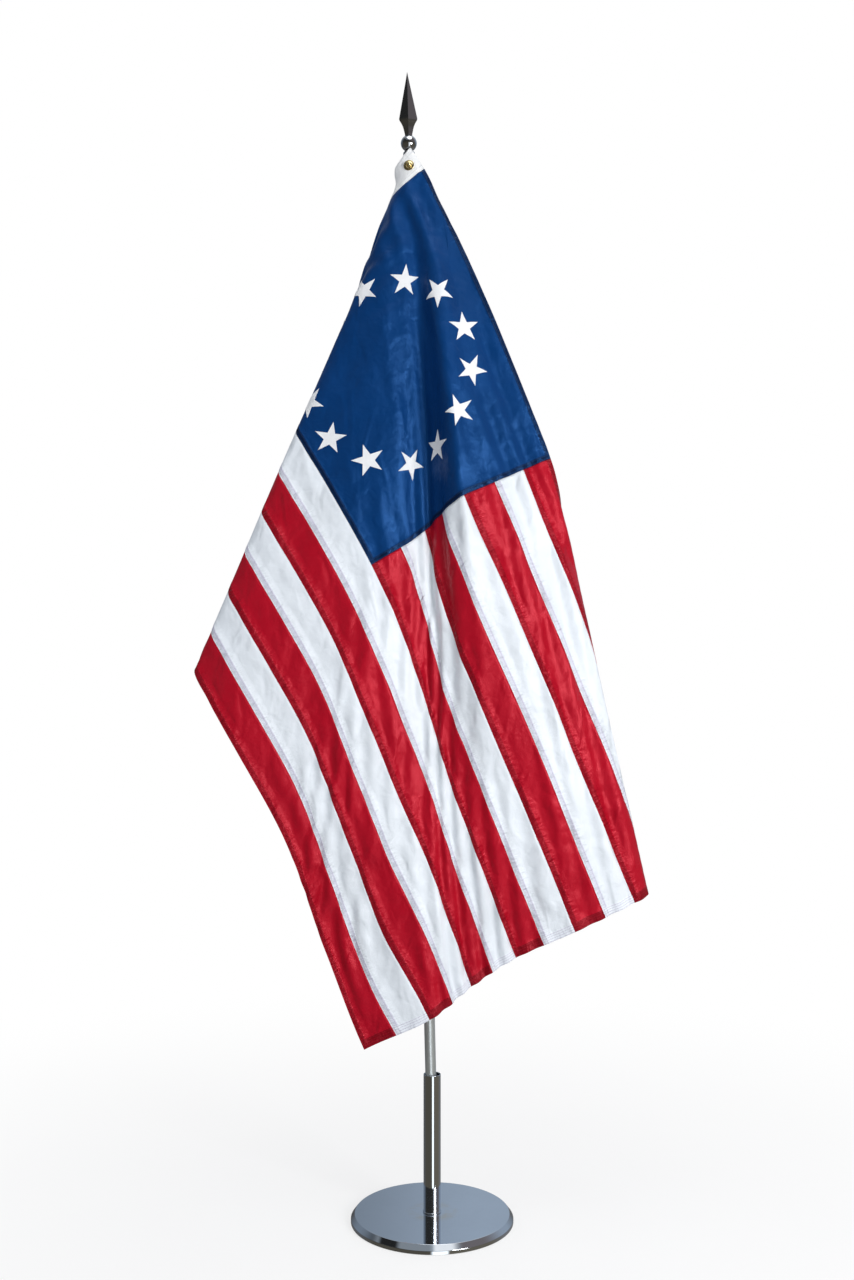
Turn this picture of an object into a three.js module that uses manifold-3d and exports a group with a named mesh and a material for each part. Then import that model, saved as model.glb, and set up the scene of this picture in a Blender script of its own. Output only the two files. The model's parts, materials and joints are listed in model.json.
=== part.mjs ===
// A floor-standing flag pole: a weighted round base with a socket tube, a pole in two screwed
// sections, a spear finial and a sewn flag that hangs from its top corner.
// Millimetres, +Z up, +X to the right, -Y to the front. The origin is the centre of the base's underside.
import * as THREE from 'three';
import { mergeVertices } from 'three/addons/utils/BufferGeometryUtils.js';
import Module from 'manifold-3d';

const wasm = await Module();
wasm.setup();

// ---- Driving dimensions ----
const BASE_DIAMETER = 330;
const BASE_HEIGHT = 18;
const TUBE_DIAMETER = 35;
const TUBE_WALL = 1.5;
const TUBE_TOP = 298;
const POLE_DIAMETER = 22.2;
const POLE_WALL = 1.2;
const POLE_LENGTH = 2128;
const POLE_LEAN = 1.35; // degrees towards -X, as it rests in the loose socket
const POLE_FOOT = new THREE.Vector3(3.3, 0, 38);
const FLAG_FLY = 1524;
const FLAG_HOIST = 914.4;
const STRIPES = 13;
const CANTON_STRIPES = 7;
const CANTON_FLY = 640;
const HEADER_WIDTH = 52;
const FINIAL_HEIGHT = 170;

// ---- Shared clearances and small sizes ----
const FACE_GAP = 0.1; // between faces that touch in the real object
const CUT_GAP = 0.3; // round a piece that is cut for its neighbour
const TURN_GAP = 0.25; // round a shaft or stud that turns in its bore
const ROUND = 32; // sides of a visible round
const MIDDLE_ROUND = 24; // of a smaller one
const SMALL_ROUND = 16; // of a small or hidden one
const TINY_ROUND = 12;
const BASE_ROUND = 64;
const HEX = 6;
const QUARTER = Math.PI / 2;

// ---- Colours and finishes ----
const FINISH = {
  chrome: { color: 0xb9c0c8, roughness: 0.12, metalness: 1 },
  darkChrome: { color: 0x6d6f73, roughness: 0.15, metalness: 1 },
  satinSteel: { color: 0x9aa0a6, roughness: 0.4, metalness: 1 },
  iron: { color: 0x3c3d40, roughness: 0.8, metalness: 0.6 },
  zinc: { color: 0xa7abb0, roughness: 0.45, metalness: 0.9 },
  brass: { color: 0xc9a24a, roughness: 0.3, metalness: 1 },
  rubber: { color: 0x1d1d1f, roughness: 0.9, metalness: 0 },
  felt: { color: 0x2a2c2b, roughness: 1, metalness: 0 },
  canvas: { color: 0xf1f2f2, roughness: 0.85, metalness: 0 },
  red: { color: 0xb3132b, roughness: 0.55, metalness: 0 },
  white: { color: 0xeef1f6, roughness: 0.55, metalness: 0 },
  blue: { color: 0x12397f, roughness: 0.55, metalness: 0 },
};

const flagStand = new THREE.Group();
flagStand.name = 'flag_stand';
const pole = new THREE.Group(); // its own +Z runs up the leaning pole from the pole's foot
pole.position.copy(POLE_FOOT);
pole.rotation.y = -THREE.MathUtils.degToRad(POLE_LEAN);
flagStand.add(pole);

function place(parent, name, geometry, finish) {
  const mesh = new THREE.Mesh(geometry, new THREE.MeshStandardMaterial(FINISH[finish]));
  mesh.name = name;
  parent.add(mesh);
  return mesh;
}

// ---- Solids ----
function signedVolume(positions, index) {
  const corner = (i) => new THREE.Vector3().fromBufferAttribute(positions, index[i]);
  let volume = 0;
  for (let i = 0; i < index.length; i += 3) {
    volume += corner(i).dot(corner(i + 1).cross(corner(i + 2))) / 6;
  }
  return volume;
}

// Welds a geometry's vertices, drops its flat triangles and turns its faces outwards.
function closed(geometry) {
  geometry.deleteAttribute('normal');
  geometry.deleteAttribute('uv');
  const welded = mergeVertices(geometry, 1e-4);
  const all = welded.index.array;
  const index = [];
  for (let i = 0; i < all.length; i += 3) {
    const [a, b, c] = [all[i], all[i + 1], all[i + 2]];
    if (a !== b && b !== c && c !== a) {
      index.push(a, b, c);
    }
  }
  if (signedVolume(welded.attributes.position, index) < 0) {
    index.reverse();
  }
  welded.setIndex(index);
  welded.computeVertexNormals();
  return welded;
}

// Turns [radius, height] points round +Z. A profile that stays off the axis closes on itself.
function turned(points, sides = ROUND) {
  const outline = points.map(([radius, height]) => new THREE.Vector2(radius, height));
  if (points[0][0] > 0) {
    outline.push(outline[0].clone());
  }
  return closed(new THREE.LatheGeometry(outline, sides).rotateX(QUARTER));
}

function disc(radius, bottom, top, sides = ROUND) {
  return turned([[0, bottom], [radius, bottom], [radius, top], [0, top]], sides);
}

function ring(outer, inner, bottom, top, sides = ROUND) {
  return turned([[inner, bottom], [outer, bottom], [outer, top], [inner, top]], sides);
}

function toManifold(geometry) {
  return new wasm.Manifold(new wasm.Mesh({
    numProp: 3,
    vertProperties: new Float32Array(geometry.attributes.position.array),
    triVerts: new Uint32Array(geometry.index.array),
  }));
}

function fromManifold(manifold) {
  const mesh = manifold.getMesh();
  const geometry = new THREE.BufferGeometry();
  geometry.setAttribute('position', new THREE.BufferAttribute(mesh.vertProperties, 3));
  geometry.setIndex(new THREE.BufferAttribute(mesh.triVerts, 1));
  geometry.computeVertexNormals();
  return geometry;
}

function cut(geometry, ...tools) {
  return fromManifold(tools.reduce((body, tool) => body.subtract(toManifold(tool)), toManifold(geometry)));
}

function joined(geometry, ...others) {
  return fromManifold(others.reduce((body, other) => body.add(toManifold(other)), toManifold(geometry)));
}

// ---- Base: pad, weight and chrome cover, with the socket tube bolted up through them ----
const coverWall = 2;
const coverRadius = BASE_DIAMETER / 2;
const rimTop = 8;
const bevelWidth = 8;
const padThickness = 2;
const padRadius = coverRadius - 7;
const boltRadius = 5;
const boltHeadHeight = 5;
const boltHeadRadius = 9.8;
const counterboreRadius = 13;
const boltHeadBottom = padThickness + 0.6;
const boltHeadTop = boltHeadBottom + boltHeadHeight;
const lockWasherTop = boltHeadTop + FACE_GAP + 1.7;
const flatWasherTop = lockWasherTop + FACE_GAP + 1.5;
const lockWasherRadius = 9;
const flatWasherRadius = 11;
const washerBore = 5.3;
const coverUnderside = BASE_HEIGHT - coverWall;
const tubeRadius = TUBE_DIAMETER / 2;
const tubeBore = tubeRadius - TUBE_WALL;
const tubeFoot = BASE_HEIGHT + FACE_GAP;
const plugTop = 33;
const cushionTop = 37.3;

function baseCover() {
  const topRadius = coverRadius - bevelWidth;
  return turned([
    [boltRadius + 0.6, coverUnderside],
    [topRadius - coverWall, coverUnderside],
    [coverRadius - coverWall, rimTop - coverWall],
    [coverRadius - coverWall, 1],
    [coverRadius, 1],
    [coverRadius, rimTop],
    [topRadius, BASE_HEIGHT],
    [boltRadius + 0.6, BASE_HEIGHT],
  ], BASE_ROUND);
}

function baseWeight() {
  const outer = coverRadius - coverWall - CUT_GAP - 1.5;
  const bottom = padThickness + FACE_GAP;
  const top = coverUnderside - CUT_GAP;
  return turned([
    [counterboreRadius, bottom],
    [outer, bottom],
    [outer, rimTop - coverWall - 1],
    [outer - bevelWidth - 1, top],
    [boltRadius + 0.5, top],
    [boltRadius + 0.5, flatWasherTop + FACE_GAP],
    [counterboreRadius, flatWasherTop + FACE_GAP],
  ], ROUND);
}

function baseBolt() {
  const head = disc(boltHeadRadius, boltHeadBottom, boltHeadTop, HEX);
  const shank = disc(boltRadius, boltHeadTop - 0.5, plugTop - 4, SMALL_ROUND);
  return joined(head, shank);
}

// Threaded inside from below, and closed at the top.
function tubePlug() {
  const foot = tubeFoot + FACE_GAP;
  const bore = boltRadius + TURN_GAP;
  const boreTop = plugTop - 3;
  const outer = tubeBore - FACE_GAP;
  return turned([
    [0, boreTop],
    [bore, boreTop],
    [bore, foot],
    [outer, foot],
    [outer, plugTop],
    [0, plugTop],
  ], SMALL_ROUND);
}

function footRing() {
  const inner = tubeRadius + FACE_GAP;
  const outer = tubeRadius + 1.3;
  return turned([[inner, tubeFoot], [outer, tubeFoot], [outer, tubeFoot + 2], [inner, tubeFoot + 3]]);
}

function socketTube() {
  const lip = 0.5;
  return turned([
    [tubeBore, tubeFoot],
    [tubeRadius, tubeFoot],
    [tubeRadius, TUBE_TOP - lip],
    [tubeRadius - lip, TUBE_TOP],
    [tubeBore, TUBE_TOP],
  ]);
}

place(flagStand, 'base_pad', disc(padRadius, 0, padThickness), 'felt');
place(flagStand, 'base_weight', baseWeight(), 'iron');
place(flagStand, 'base_cover', baseCover(), 'chrome');
place(flagStand, 'base_bolt', baseBolt(), 'zinc');
const lockWasher = ring(lockWasherRadius, washerBore, boltHeadTop + FACE_GAP, lockWasherTop, SMALL_ROUND);
const flatWasher = ring(flatWasherRadius, washerBore, lockWasherTop + FACE_GAP, flatWasherTop, SMALL_ROUND);
place(flagStand, 'lock_washer', lockWasher, 'zinc');
place(flagStand, 'flat_washer', flatWasher, 'zinc');
place(flagStand, 'foot_ring', footRing(), 'chrome');
place(flagStand, 'socket_tube', socketTube(), 'chrome');
place(flagStand, 'tube_plug', tubePlug(), 'zinc');
place(flagStand, 'socket_cushion', disc(tubeBore - 0.5, plugTop + FACE_GAP, cushionTop), 'rubber');

// ---- Pole: a foot cap and two tubes that screw together ----
const poleRadius = POLE_DIAMETER / 2;
const poleBore = poleRadius - POLE_WALL;
const capFloor = 4;
const jointHeight = 1064;
const jointRingHeight = 3;
const jointStudRadius = 6;
const jointStudReach = 20;
const jointPlugLength = 18;
const insertLength = 24;
const finialStudRadius = 4;
const finialStudReach = 14;
const topInsertLength = 18.5;
const washerHeight = 1.5;
const poleTop = POLE_LENGTH - washerHeight;

function footCap() {
  const outer = poleRadius + 0.9;
  const inner = poleRadius + FACE_GAP;
  const chamfer = 1.5;
  return turned([
    [0, 0],
    [outer - chamfer, 0],
    [outer, chamfer],
    [outer, 22],
    [inner, 22],
    [inner, capFloor],
    [0, capFloor],
  ]);
}

function poleTube(bottom, top) {
  return ring(poleRadius, poleBore, bottom, top);
}

// A bush pressed into a tube's end, threaded through the middle.
function threadedInsert(boreRadius, bottom, top) {
  return ring(poleBore - FACE_GAP, boreRadius + TURN_GAP, bottom, top, SMALL_ROUND);
}

// A plug pressed into the upper tube, with a stud below it that screws into the lower section.
function jointStud() {
  const seat = jointHeight + jointRingHeight + FACE_GAP;
  const tip = jointHeight - jointStudReach;
  return turned([
    [0, tip],
    [jointStudRadius - 1, tip],
    [jointStudRadius, tip + 1],
    [jointStudRadius, seat],
    [poleBore - FACE_GAP, seat],
    [poleBore - FACE_GAP, seat + jointPlugLength],
    [0, seat + jointPlugLength],
  ], SMALL_ROUND);
}

place(pole, 'pole_foot_cap', footCap(), 'rubber');
place(pole, 'lower_pole_tube', poleTube(capFloor + CUT_GAP, jointHeight - FACE_GAP), 'satinSteel');
const lowerInsert = threadedInsert(jointStudRadius, jointHeight - insertLength, jointHeight - 1);
place(pole, 'lower_insert', lowerInsert, 'zinc');
const jointRing = ring(poleRadius + 0.4, jointStudRadius + 0.3, jointHeight, jointHeight + jointRingHeight);
place(pole, 'joint_ring', jointRing, 'chrome');
const upperTube = poleTube(jointHeight + jointRingHeight + FACE_GAP, poleTop - FACE_GAP);
const topInsertTop = poleTop - 0.5;
place(pole, 'upper_pole_tube', upperTube, 'satinSteel');
place(pole, 'joint_stud', jointStud(), 'zinc');
const topInsert = threadedInsert(finialStudRadius, topInsertTop - topInsertLength, topInsertTop);
place(pole, 'top_insert', topInsert, 'zinc');

// ---- Finial: ferrule, ball and spear on one threaded stud ----
const ballRadius = 16.3;
const ferruleRadius = 11.8;
const ferruleHeight = 9;
const ferruleBottom = POLE_LENGTH + FACE_GAP;
const ballCentre = POLE_LENGTH + 24;
const spearBottom = ballCentre + ballRadius - 1;
const spearTip = POLE_LENGTH + FINIAL_HEIGHT;
const studBore = finialStudRadius + TURN_GAP;
const spearBoreDepth = 13;

function ferrule() {
  const neckTop = ferruleBottom + ferruleHeight;
  return turned([
    [studBore, ferruleBottom],
    [ferruleRadius, ferruleBottom],
    [ferruleRadius, ferruleBottom + 5],
    [ferruleRadius - 2.4, neckTop - 1.5],
    [ferruleRadius - 3, neckTop],
    [studBore, neckTop],
  ], MIDDLE_ROUND);
}

// A ball with a flat land at each end and a hole through it for the stud.
function finialBall() {
  const landRadius = 7.5;
  const landAngle = Math.asin(landRadius / ballRadius);
  const steps = 8;
  const points = [[studBore, ballCentre - ballRadius * Math.cos(landAngle)]];
  for (let i = 0; i <= steps; i += 1) {
    const angle = landAngle + (Math.PI - 2 * landAngle) * (i / steps);
    points.push([ballRadius * Math.sin(angle), ballCentre - ballRadius * Math.cos(angle)]);
  }
  points.push([studBore, ballCentre + ballRadius * Math.cos(landAngle)]);
  return turned(points, MIDDLE_ROUND);
}

// A blade of diamond section: [height above its foot, width, thickness], then the point.
function spear() {
  const sections = [
    [0, 15.4, 15.4],
    [2, 15.4, 14.5],
    [10, 18.6, 14.5],
    [18, 22.5, 15],
    [25, 28.5, 15.8],
    [32, 36.4, 16.6],
    [34.5, 37.6, 16.8],
    [37, 36.8, 16.6],
  ];
  const positions = [];
  const index = [];
  for (const [height, width, thickness] of sections) {
    const z = spearBottom + height;
    positions.push(width / 2, 0, z, 0, thickness / 2, z, -width / 2, 0, z, 0, -thickness / 2, z);
  }
  for (let level = 0; level < sections.length - 1; level += 1) {
    for (let side = 0; side < 4; side += 1) {
      const a = level * 4 + side;
      const b = level * 4 + ((side + 1) % 4);
      index.push(a, b, b + 4, a, b + 4, a + 4);
    }
  }
  const last = (sections.length - 1) * 4;
  const tip = sections.length * 4;
  positions.push(0, 0, spearTip);
  for (let side = 0; side < 4; side += 1) {
    index.push(last + side, last + ((side + 1) % 4), tip);
  }
  index.push(0, 2, 1, 0, 3, 2);
  const geometry = new THREE.BufferGeometry();
  geometry.setAttribute('position', new THREE.Float32BufferAttribute(positions, 3));
  geometry.setIndex(index);
  const bore = disc(studBore, spearBottom - 1, spearBottom + spearBoreDepth, SMALL_ROUND);
  return cut(closed(geometry), bore);
}

function finialStud() {
  return disc(finialStudRadius, poleTop - finialStudReach, spearBottom + spearBoreDepth - 1, SMALL_ROUND);
}

const lockRing = ring(ferruleRadius - 0.4, finialStudRadius + 0.3, poleTop, poleTop + washerHeight);
place(pole, 'finial_washer', lockRing, 'darkChrome');
place(pole, 'finial_ferrule', ferrule(), 'darkChrome');
place(pole, 'finial_ball', finialBall(), 'darkChrome');
place(pole, 'finial_spear', spear(), 'darkChrome');
place(pole, 'finial_stud', finialStud(), 'zinc');

// ---- Drape of the flag ----
// The flag hangs from its top corner, so its folds run down as straight rays from there. A place
// on the flat flag is (along, down): millimetres from the canton's top corner towards the fly and
// towards the bottom edge. A ray has an angle from the top edge and a distance from the corner.
const flagCorner = new THREE.Vector3(-44.3, -16, 2176);
const RAY_DISTANCE = [50, 120, 700, 1150, 1600];
const RAY_ANGLE = [0, 6, 12.5, 17.5, 22, 26, 30, 34, 40, 46, 50.5, 53, 55.5, 60, 66, 72, 78, 84, 88.3, 91];
// How far each ray turns to the right of straight down, in degrees, one row for each distance.
const RAY_TURN = [
  [
    33.7, 28.8, 23.4, 19.3, 15.6, 12.4, 9.1, 5.8, 0.9, -4,
    -7.7, -9.8, -12, -15.5, -20.5, -25.4, -30, -35, -38.7, -41,
  ],
  [
    29.5, 23.7, 17.6, 12.8, 8.7, 5.2, 1.8, -1.6, -7, -12.6,
    -16.2, -18, -19.6, -21.6, -22, -19.5, -15, -9, -3, 1.35,
  ],
  [
    24.1, 18.7, 12.9, 8.1, 5.1, 3, 0.3, -3.3, -9.4, -15.4,
    -20.1, -22.3, -21.3, -18.5, -14, -9.5, -5.5, -1.5, 1.15, 2.5,
  ],
  [
    23.2, 18.1, 12.5, 7.6, 3.9, 1.6, -1.5, -5, -9.9, -15.8,
    -20.4, -22.6, -21.8, -18.5, -14, -9.5, -5.5, -1.5, 1.15, 2.5,
  ],
  [
    22, 17.9, 11.9, 7.3, 4.1, 1.4, -2.8, -6, -10.4, -16.2,
    -20.6, -22.8, -22, -18.5, -14, -9.5, -5.5, -1.5, 1.15, 2.5,
  ],
];
// How far behind the pole's axis the cloth lies there, in millimetres.
const RAY_DEPTH = [
  [
    -16, -16, -18, -19, -20, -20, -20, -20, -20, -19,
    -18, -17, -16, -14, -11, -8, -5, -2, 1, 3,
  ],
  [
    -12, -15, -22, -27, -27, -24, -22, -22, -24, -22,
    -17, -13, -8, 0, 10, 18, 22, 22, 19, 17,
  ],
  [
    -45, -60, -82, -100, -60, -28, -34, -50, -46, -30,
    -16, 2, 18, 45, 20, 62, 30, 50, 18, 17,
  ],
  [
    -30, -52, -78, -76, -44, -34, -48, -52, -34, -30,
    -10, 14, 34, 75, 35, 100, 50, 80, 18, 17,
  ],
  [
    -10, -24, -44, -22, -28, -52, -32, -14, -20, -18,
    0, 20, 40, 90, 40, 110, 60, 90, 18, 17,
  ],
];
// The lower right edge rolls to the back, beyond a line that leaves the top edge at this distance
// from the corner and moves into the flag by this much for each millimetre further.
const ROLL_START = 760;
const ROLL_SLOPE = 0.2;
const ROLL_RADIUS = 16;
const ROLL_TURN = THREE.MathUtils.degToRad(165);

// The slope of a curve through values at places, at each place, with no overshoot between them.
function slopesOf(places, values) {
  const rise = (i) => (values[i + 1] - values[i]) / (places[i + 1] - places[i]);
  const last = places.length - 1;
  return places.map((_, i) => {
    if (i === 0) {
      return rise(0);
    }
    if (i === last) {
      return rise(last - 1);
    }
    const [before, after] = [rise(i - 1), rise(i)];
    return before * after > 0 ? (2 * before * after) / (before + after) : 0;
  });
}

// The value of a smooth curve through values at places.
function curveAt(places, values, slopes, place) {
  const here = THREE.MathUtils.clamp(place, places[0], places[places.length - 1]);
  let i = 0;
  while (i < places.length - 2 && here > places[i + 1]) {
    i += 1;
  }
  const width = places[i + 1] - places[i];
  const t = (here - places[i]) / width;
  const ease = t * t * (3 - 2 * t);
  const leave = t * (1 - t) * (1 - t) * width * slopes[i];
  const arrive = t * t * (t - 1) * width * slopes[i + 1];
  return values[i] + ease * (values[i + 1] - values[i]) + leave + arrive;
}

function rowCurves(rows) {
  return rows.map((values) => {
    const slopes = slopesOf(RAY_ANGLE, values);
    return (angle) => curveAt(RAY_ANGLE, values, slopes, angle);
  });
}

const turnCurves = rowCurves(RAY_TURN);
const depthCurves = rowCurves(RAY_DEPTH);

function netValue(curves, distance, angle) {
  const values = curves.map((curve) => curve(angle));
  return curveAt(RAY_DISTANCE, values, slopesOf(RAY_DISTANCE, values), distance);
}

// The drape before its edge is rolled. The angle is in degrees.
function rayPoint(distance, angle) {
  const turn = THREE.MathUtils.degToRad(netValue(turnCurves, distance, angle));
  const near = Math.min(distance / RAY_DISTANCE[0], 1);
  const depth = (netValue(depthCurves, distance, angle) - flagCorner.y) * near * near;
  const fall = Math.sqrt(Math.max(distance * distance - depth * depth, 0));
  return new THREE.Vector3(fall * Math.sin(turn), depth, -fall * Math.cos(turn)).add(flagCorner);
}

function drapePoint(along, down) {
  const distance = Math.max(Math.hypot(along + HEADER_WIDTH, down), 1);
  const angle = THREE.MathUtils.radToDeg(Math.atan2(down, along + HEADER_WIDTH));
  const line = ROLL_SLOPE * (distance - ROLL_START) + ROLL_RADIUS * QUARTER;
  const rollFrom = THREE.MathUtils.radToDeg(line / distance);
  if (angle >= rollFrom) {
    return rayPoint(distance, angle);
  }
  const from = rayPoint(distance, rollFrom);
  const outward = from.clone().sub(rayPoint(distance, rollFrom + 0.25)).normalize();
  const ray = from.clone().sub(flagCorner).normalize();
  const backward = ray.cross(outward).normalize();
  backward.multiplyScalar(Math.sign(backward.y));
  const beyond = THREE.MathUtils.degToRad(rollFrom - angle) * distance;
  const bend = Math.min(beyond / ROLL_RADIUS, ROLL_TURN);
  const rest = beyond - bend * ROLL_RADIUS;
  from.addScaledVector(outward, ROLL_RADIUS * Math.sin(bend) + rest * Math.cos(bend));
  return from.addScaledVector(backward, ROLL_RADIUS * (1 - Math.cos(bend)) + rest * Math.sin(bend));
}

// The side that faces the front on the flag's front layer.
function drapeNormal(along, down) {
  const step = 3;
  const a = Math.max(along, step - HEADER_WIDTH);
  const d = Math.max(down, step);
  const alongward = drapePoint(a + step, d).sub(drapePoint(a - step, d));
  const downward = drapePoint(a, d + step).sub(drapePoint(a, d - step));
  return downward.cross(alongward).normalize();
}

// ---- Flag: header, canton and stripes, each a thin solid along the drape ----
const stripeWidth = FLAG_HOIST / STRIPES;
const SHEET_THICKNESS = 2;
const SEAM_GAP = 0.5;
const gridAlong = 50;
const gridDown = stripeWidth / 2;

// The grid lines inside a strip, with its two edges drawn in by half the seam gap. No line comes
// nearer to an edge than a small share of the spacing.
function gridLines(from, to, spacing, origin = 0) {
  const nearest = spacing * 0.2;
  const lines = [from + SEAM_GAP / 2];
  const first = Math.ceil((from + nearest - origin) / spacing);
  for (let line = origin + first * spacing; line < to - nearest; line += spacing) {
    lines.push(line);
  }
  lines.push(to - SEAM_GAP / 2);
  return lines;
}

function clothSolid(alongLines, downLines, thickness) {
  const columns = alongLines.length;
  const rows = downLines.length;
  const layer = columns * rows;
  const positions = new Float32Array(layer * 6);
  downLines.forEach((down, row) => {
    alongLines.forEach((along, column) => {
      const middle = drapePoint(along, down);
      const normal = drapeNormal(along, down);
      const vertex = row * columns + column;
      middle.clone().addScaledVector(normal, thickness / 2).toArray(positions, vertex * 3);
      middle.clone().addScaledVector(normal, -thickness / 2).toArray(positions, (vertex + layer) * 3);
    });
  });
  const index = [];
  const quad = (a, b, c, d) => index.push(a, b, c, a, c, d);
  for (let row = 0; row < rows - 1; row += 1) {
    for (let column = 0; column < columns - 1; column += 1) {
      const a = row * columns + column;
      quad(a, a + columns, a + columns + 1, a + 1);
      quad(a + layer, a + layer + 1, a + layer + columns + 1, a + layer + columns);
    }
  }
  // Facing walls of neighbouring panels are split along the same diagonal, so that a twist closes no gap.
  const wall = (a, b) => index.push(a, b, b + layer, a, b + layer, a + layer);
  const facingWall = (a, b) => index.push(a, b + layer, b, a, a + layer, b + layer);
  for (let column = 0; column < columns - 1; column += 1) {
    const last = (rows - 1) * columns + column;
    wall(column, column + 1);
    facingWall(last, last + 1);
  }
  for (let row = 0; row < rows - 1; row += 1) {
    const left = row * columns;
    const right = left + columns - 1;
    facingWall(left, left + columns);
    wall(right, right + columns);
  }
  const geometry = new THREE.BufferGeometry();
  geometry.setAttribute('position', new THREE.BufferAttribute(positions, 3));
  geometry.setIndex(index);
  return closed(geometry);
}

function clothPanel(alongFrom, alongTo, downFrom, downTo) {
  const alongLines = gridLines(alongFrom, alongTo, gridAlong);
  const downLines = gridLines(downFrom, downTo, gridDown);
  return clothSolid(alongLines, downLines, SHEET_THICKNESS);
}

const stripeNumber = (stripe) => String(stripe + 1).padStart(2, '0');

for (let stripe = 0; stripe < STRIPES; stripe += 1) {
  const start = stripe < CANTON_STRIPES ? CANTON_FLY : 0;
  const panel = clothPanel(start, FLAG_FLY, stripe * stripeWidth, (stripe + 1) * stripeWidth);
  place(flagStand, `stripe_${stripeNumber(stripe)}`, panel, stripe % 2 === 0 ? 'red' : 'white');
}
place(flagStand, 'canton', clothPanel(0, CANTON_FLY, 0, CANTON_STRIPES * stripeWidth), 'blue');

// ---- Header with a grommet at each end, hung on two rings that turn on the pole ----
const HEADER_THICKNESS = 2.4;
const HEADER_GAP = 2; // to the panels, whose coarser facets cut the bends differently
const HEADER_BEND_END = 140; // where the header has bent round to the back of the pole
const GROMMET_ROUND = 20;
const grommetAlong = -HEADER_WIDTH / 2;
const grommetDown = 27;
const grommetBore = 4.8;
const grommetBarrel = 6;
const grommetFlange = 11;
const flangeThickness = 0.8;
const grommetReach = HEADER_THICKNESS / 2 + CUT_GAP;
const ringRadius = 13.3;
const ringBore = poleRadius + TURN_GAP;
const ringHeight = 8;
const collarRadius = 13.8;
const collarHeight = 9;
const screwRadius = 1.5;
const hookReach = 11.4; // from the ring's outside to the middle of the hook's ball
const hookBall = 4.2;
const hookShank = 2.2;

// Turns a solid made round +Z so that its +Z runs along a normal, and moves it to a point.
function aimed(geometry, point, normal) {
  const turn = new THREE.Quaternion().setFromUnitVectors(new THREE.Vector3(0, 0, 1), normal);
  return geometry.applyQuaternion(turn).translate(point.x, point.y, point.z);
}

// The grommet's flange and barrel, from the side that faces away from the pole.
function grommetBody() {
  const face = grommetReach + flangeThickness;
  return turned([
    [grommetBore, -grommetReach - flangeThickness - FACE_GAP],
    [grommetBarrel, -grommetReach - flangeThickness - FACE_GAP],
    [grommetBarrel, grommetReach],
    [grommetFlange, grommetReach],
    [grommetFlange - 1, face],
    [grommetBore + 0.8, face + 0.3],
    [grommetBore, face - 0.3],
  ], GROMMET_ROUND);
}

function grommetWasher() {
  const inner = grommetBarrel + FACE_GAP;
  return ring(grommetFlange, inner, -grommetReach - flangeThickness, -grommetReach, GROMMET_ROUND);
}

// What the cloth leaves free for a grommet and its washer.
function grommetClearance() {
  const flangeRadius = grommetFlange + CUT_GAP;
  const far = grommetReach + 6;
  const near = HEADER_THICKNESS / 2 + 0.05;
  const barrel = grommetBarrel + CUT_GAP;
  return turned([
    [0, -far],
    [flangeRadius, -far],
    [flangeRadius, -near],
    [barrel, -near],
    [barrel, near],
    [flangeRadius, near],
    [flangeRadius, far],
    [0, far],
  ], GROMMET_ROUND);
}

function grommetAt(down) {
  const point = drapePoint(grommetAlong, down);
  const normal = drapeNormal(grommetAlong, down);
  return { point, normal };
}

// A ring round the pole with a round-headed hook on the side that the grommet hangs on.
function flagRing(middle, side) {
  const band = ring(ringRadius, ringBore, middle - ringHeight / 2, middle + ringHeight / 2, MIDDLE_ROUND);
  const ballCentreOut = ringRadius + hookReach;
  const root = ringRadius - 0.8;
  const points = [[0, root], [hookShank, root]];
  const steps = 6;
  const neckAngle = Math.asin(hookShank / hookBall);
  for (let i = 0; i <= steps; i += 1) {
    const angle = neckAngle + (Math.PI - neckAngle) * (i / steps);
    points.push([Math.max(hookBall * Math.sin(angle), 0), ballCentreOut - hookBall * Math.cos(angle)]);
  }
  const hook = turned(points, TINY_ROUND).rotateX(side * QUARTER).translate(0, 0, middle);
  return joined(band, hook);
}

function stopCollar(top) {
  const collar = ring(collarRadius, poleRadius + FACE_GAP, top - collarHeight, top, MIDDLE_ROUND);
  const hole = disc(screwRadius + FACE_GAP, 0, collarRadius + 1, TINY_ROUND).rotateY(QUARTER);
  return cut(collar, hole.translate(0, 0, top - collarHeight / 2));
}

function setScrew(top) {
  const screw = disc(screwRadius, poleRadius + FACE_GAP, collarRadius - 0.2, TINY_ROUND).rotateY(QUARTER);
  return screw.translate(0, 0, top - collarHeight / 2);
}

const hangers = [
  { end: 'upper', ...grommetAt(grommetDown), side: 1 },
  { end: 'lower', ...grommetAt(FLAG_HOIST - grommetDown), side: -1 },
];

function header() {
  const alongLines = [-HEADER_WIDTH, -HEADER_WIDTH * 0.75, grommetAlong, -HEADER_WIDTH * 0.25, -HEADER_GAP];
  const downLines = gridLines(0, HEADER_BEND_END, gridDown / 3).slice(0, -1);
  downLines.push(...gridLines(HEADER_BEND_END, FLAG_HOIST, gridDown * 1.5, HEADER_BEND_END));
  const band = clothSolid(alongLines, downLines, HEADER_THICKNESS);
  return cut(band, ...hangers.map(({ point, normal }) => aimed(grommetClearance(), point, normal)));
}

place(flagStand, 'header', header(), 'canvas');
for (const { end, point, normal, side } of hangers) {
  place(flagStand, `${end}_grommet`, aimed(grommetBody(), point, normal), 'brass');
  place(flagStand, `${end}_grommet_washer`, aimed(grommetWasher(), point, normal), 'brass');
  const height = point.clone().sub(POLE_FOOT).dot(new THREE.Vector3(0, 0, 1).applyEuler(pole.rotation));
  const collarTop = height - ringHeight / 2 - FACE_GAP;
  place(pole, `${end}_flag_ring`, flagRing(height, side), 'brass');
  place(pole, `${end}_collar`, stopCollar(collarTop), 'chrome');
  place(pole, `${end}_set_screw`, setScrew(collarTop), 'zinc');
}

export default flagStand;
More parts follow.
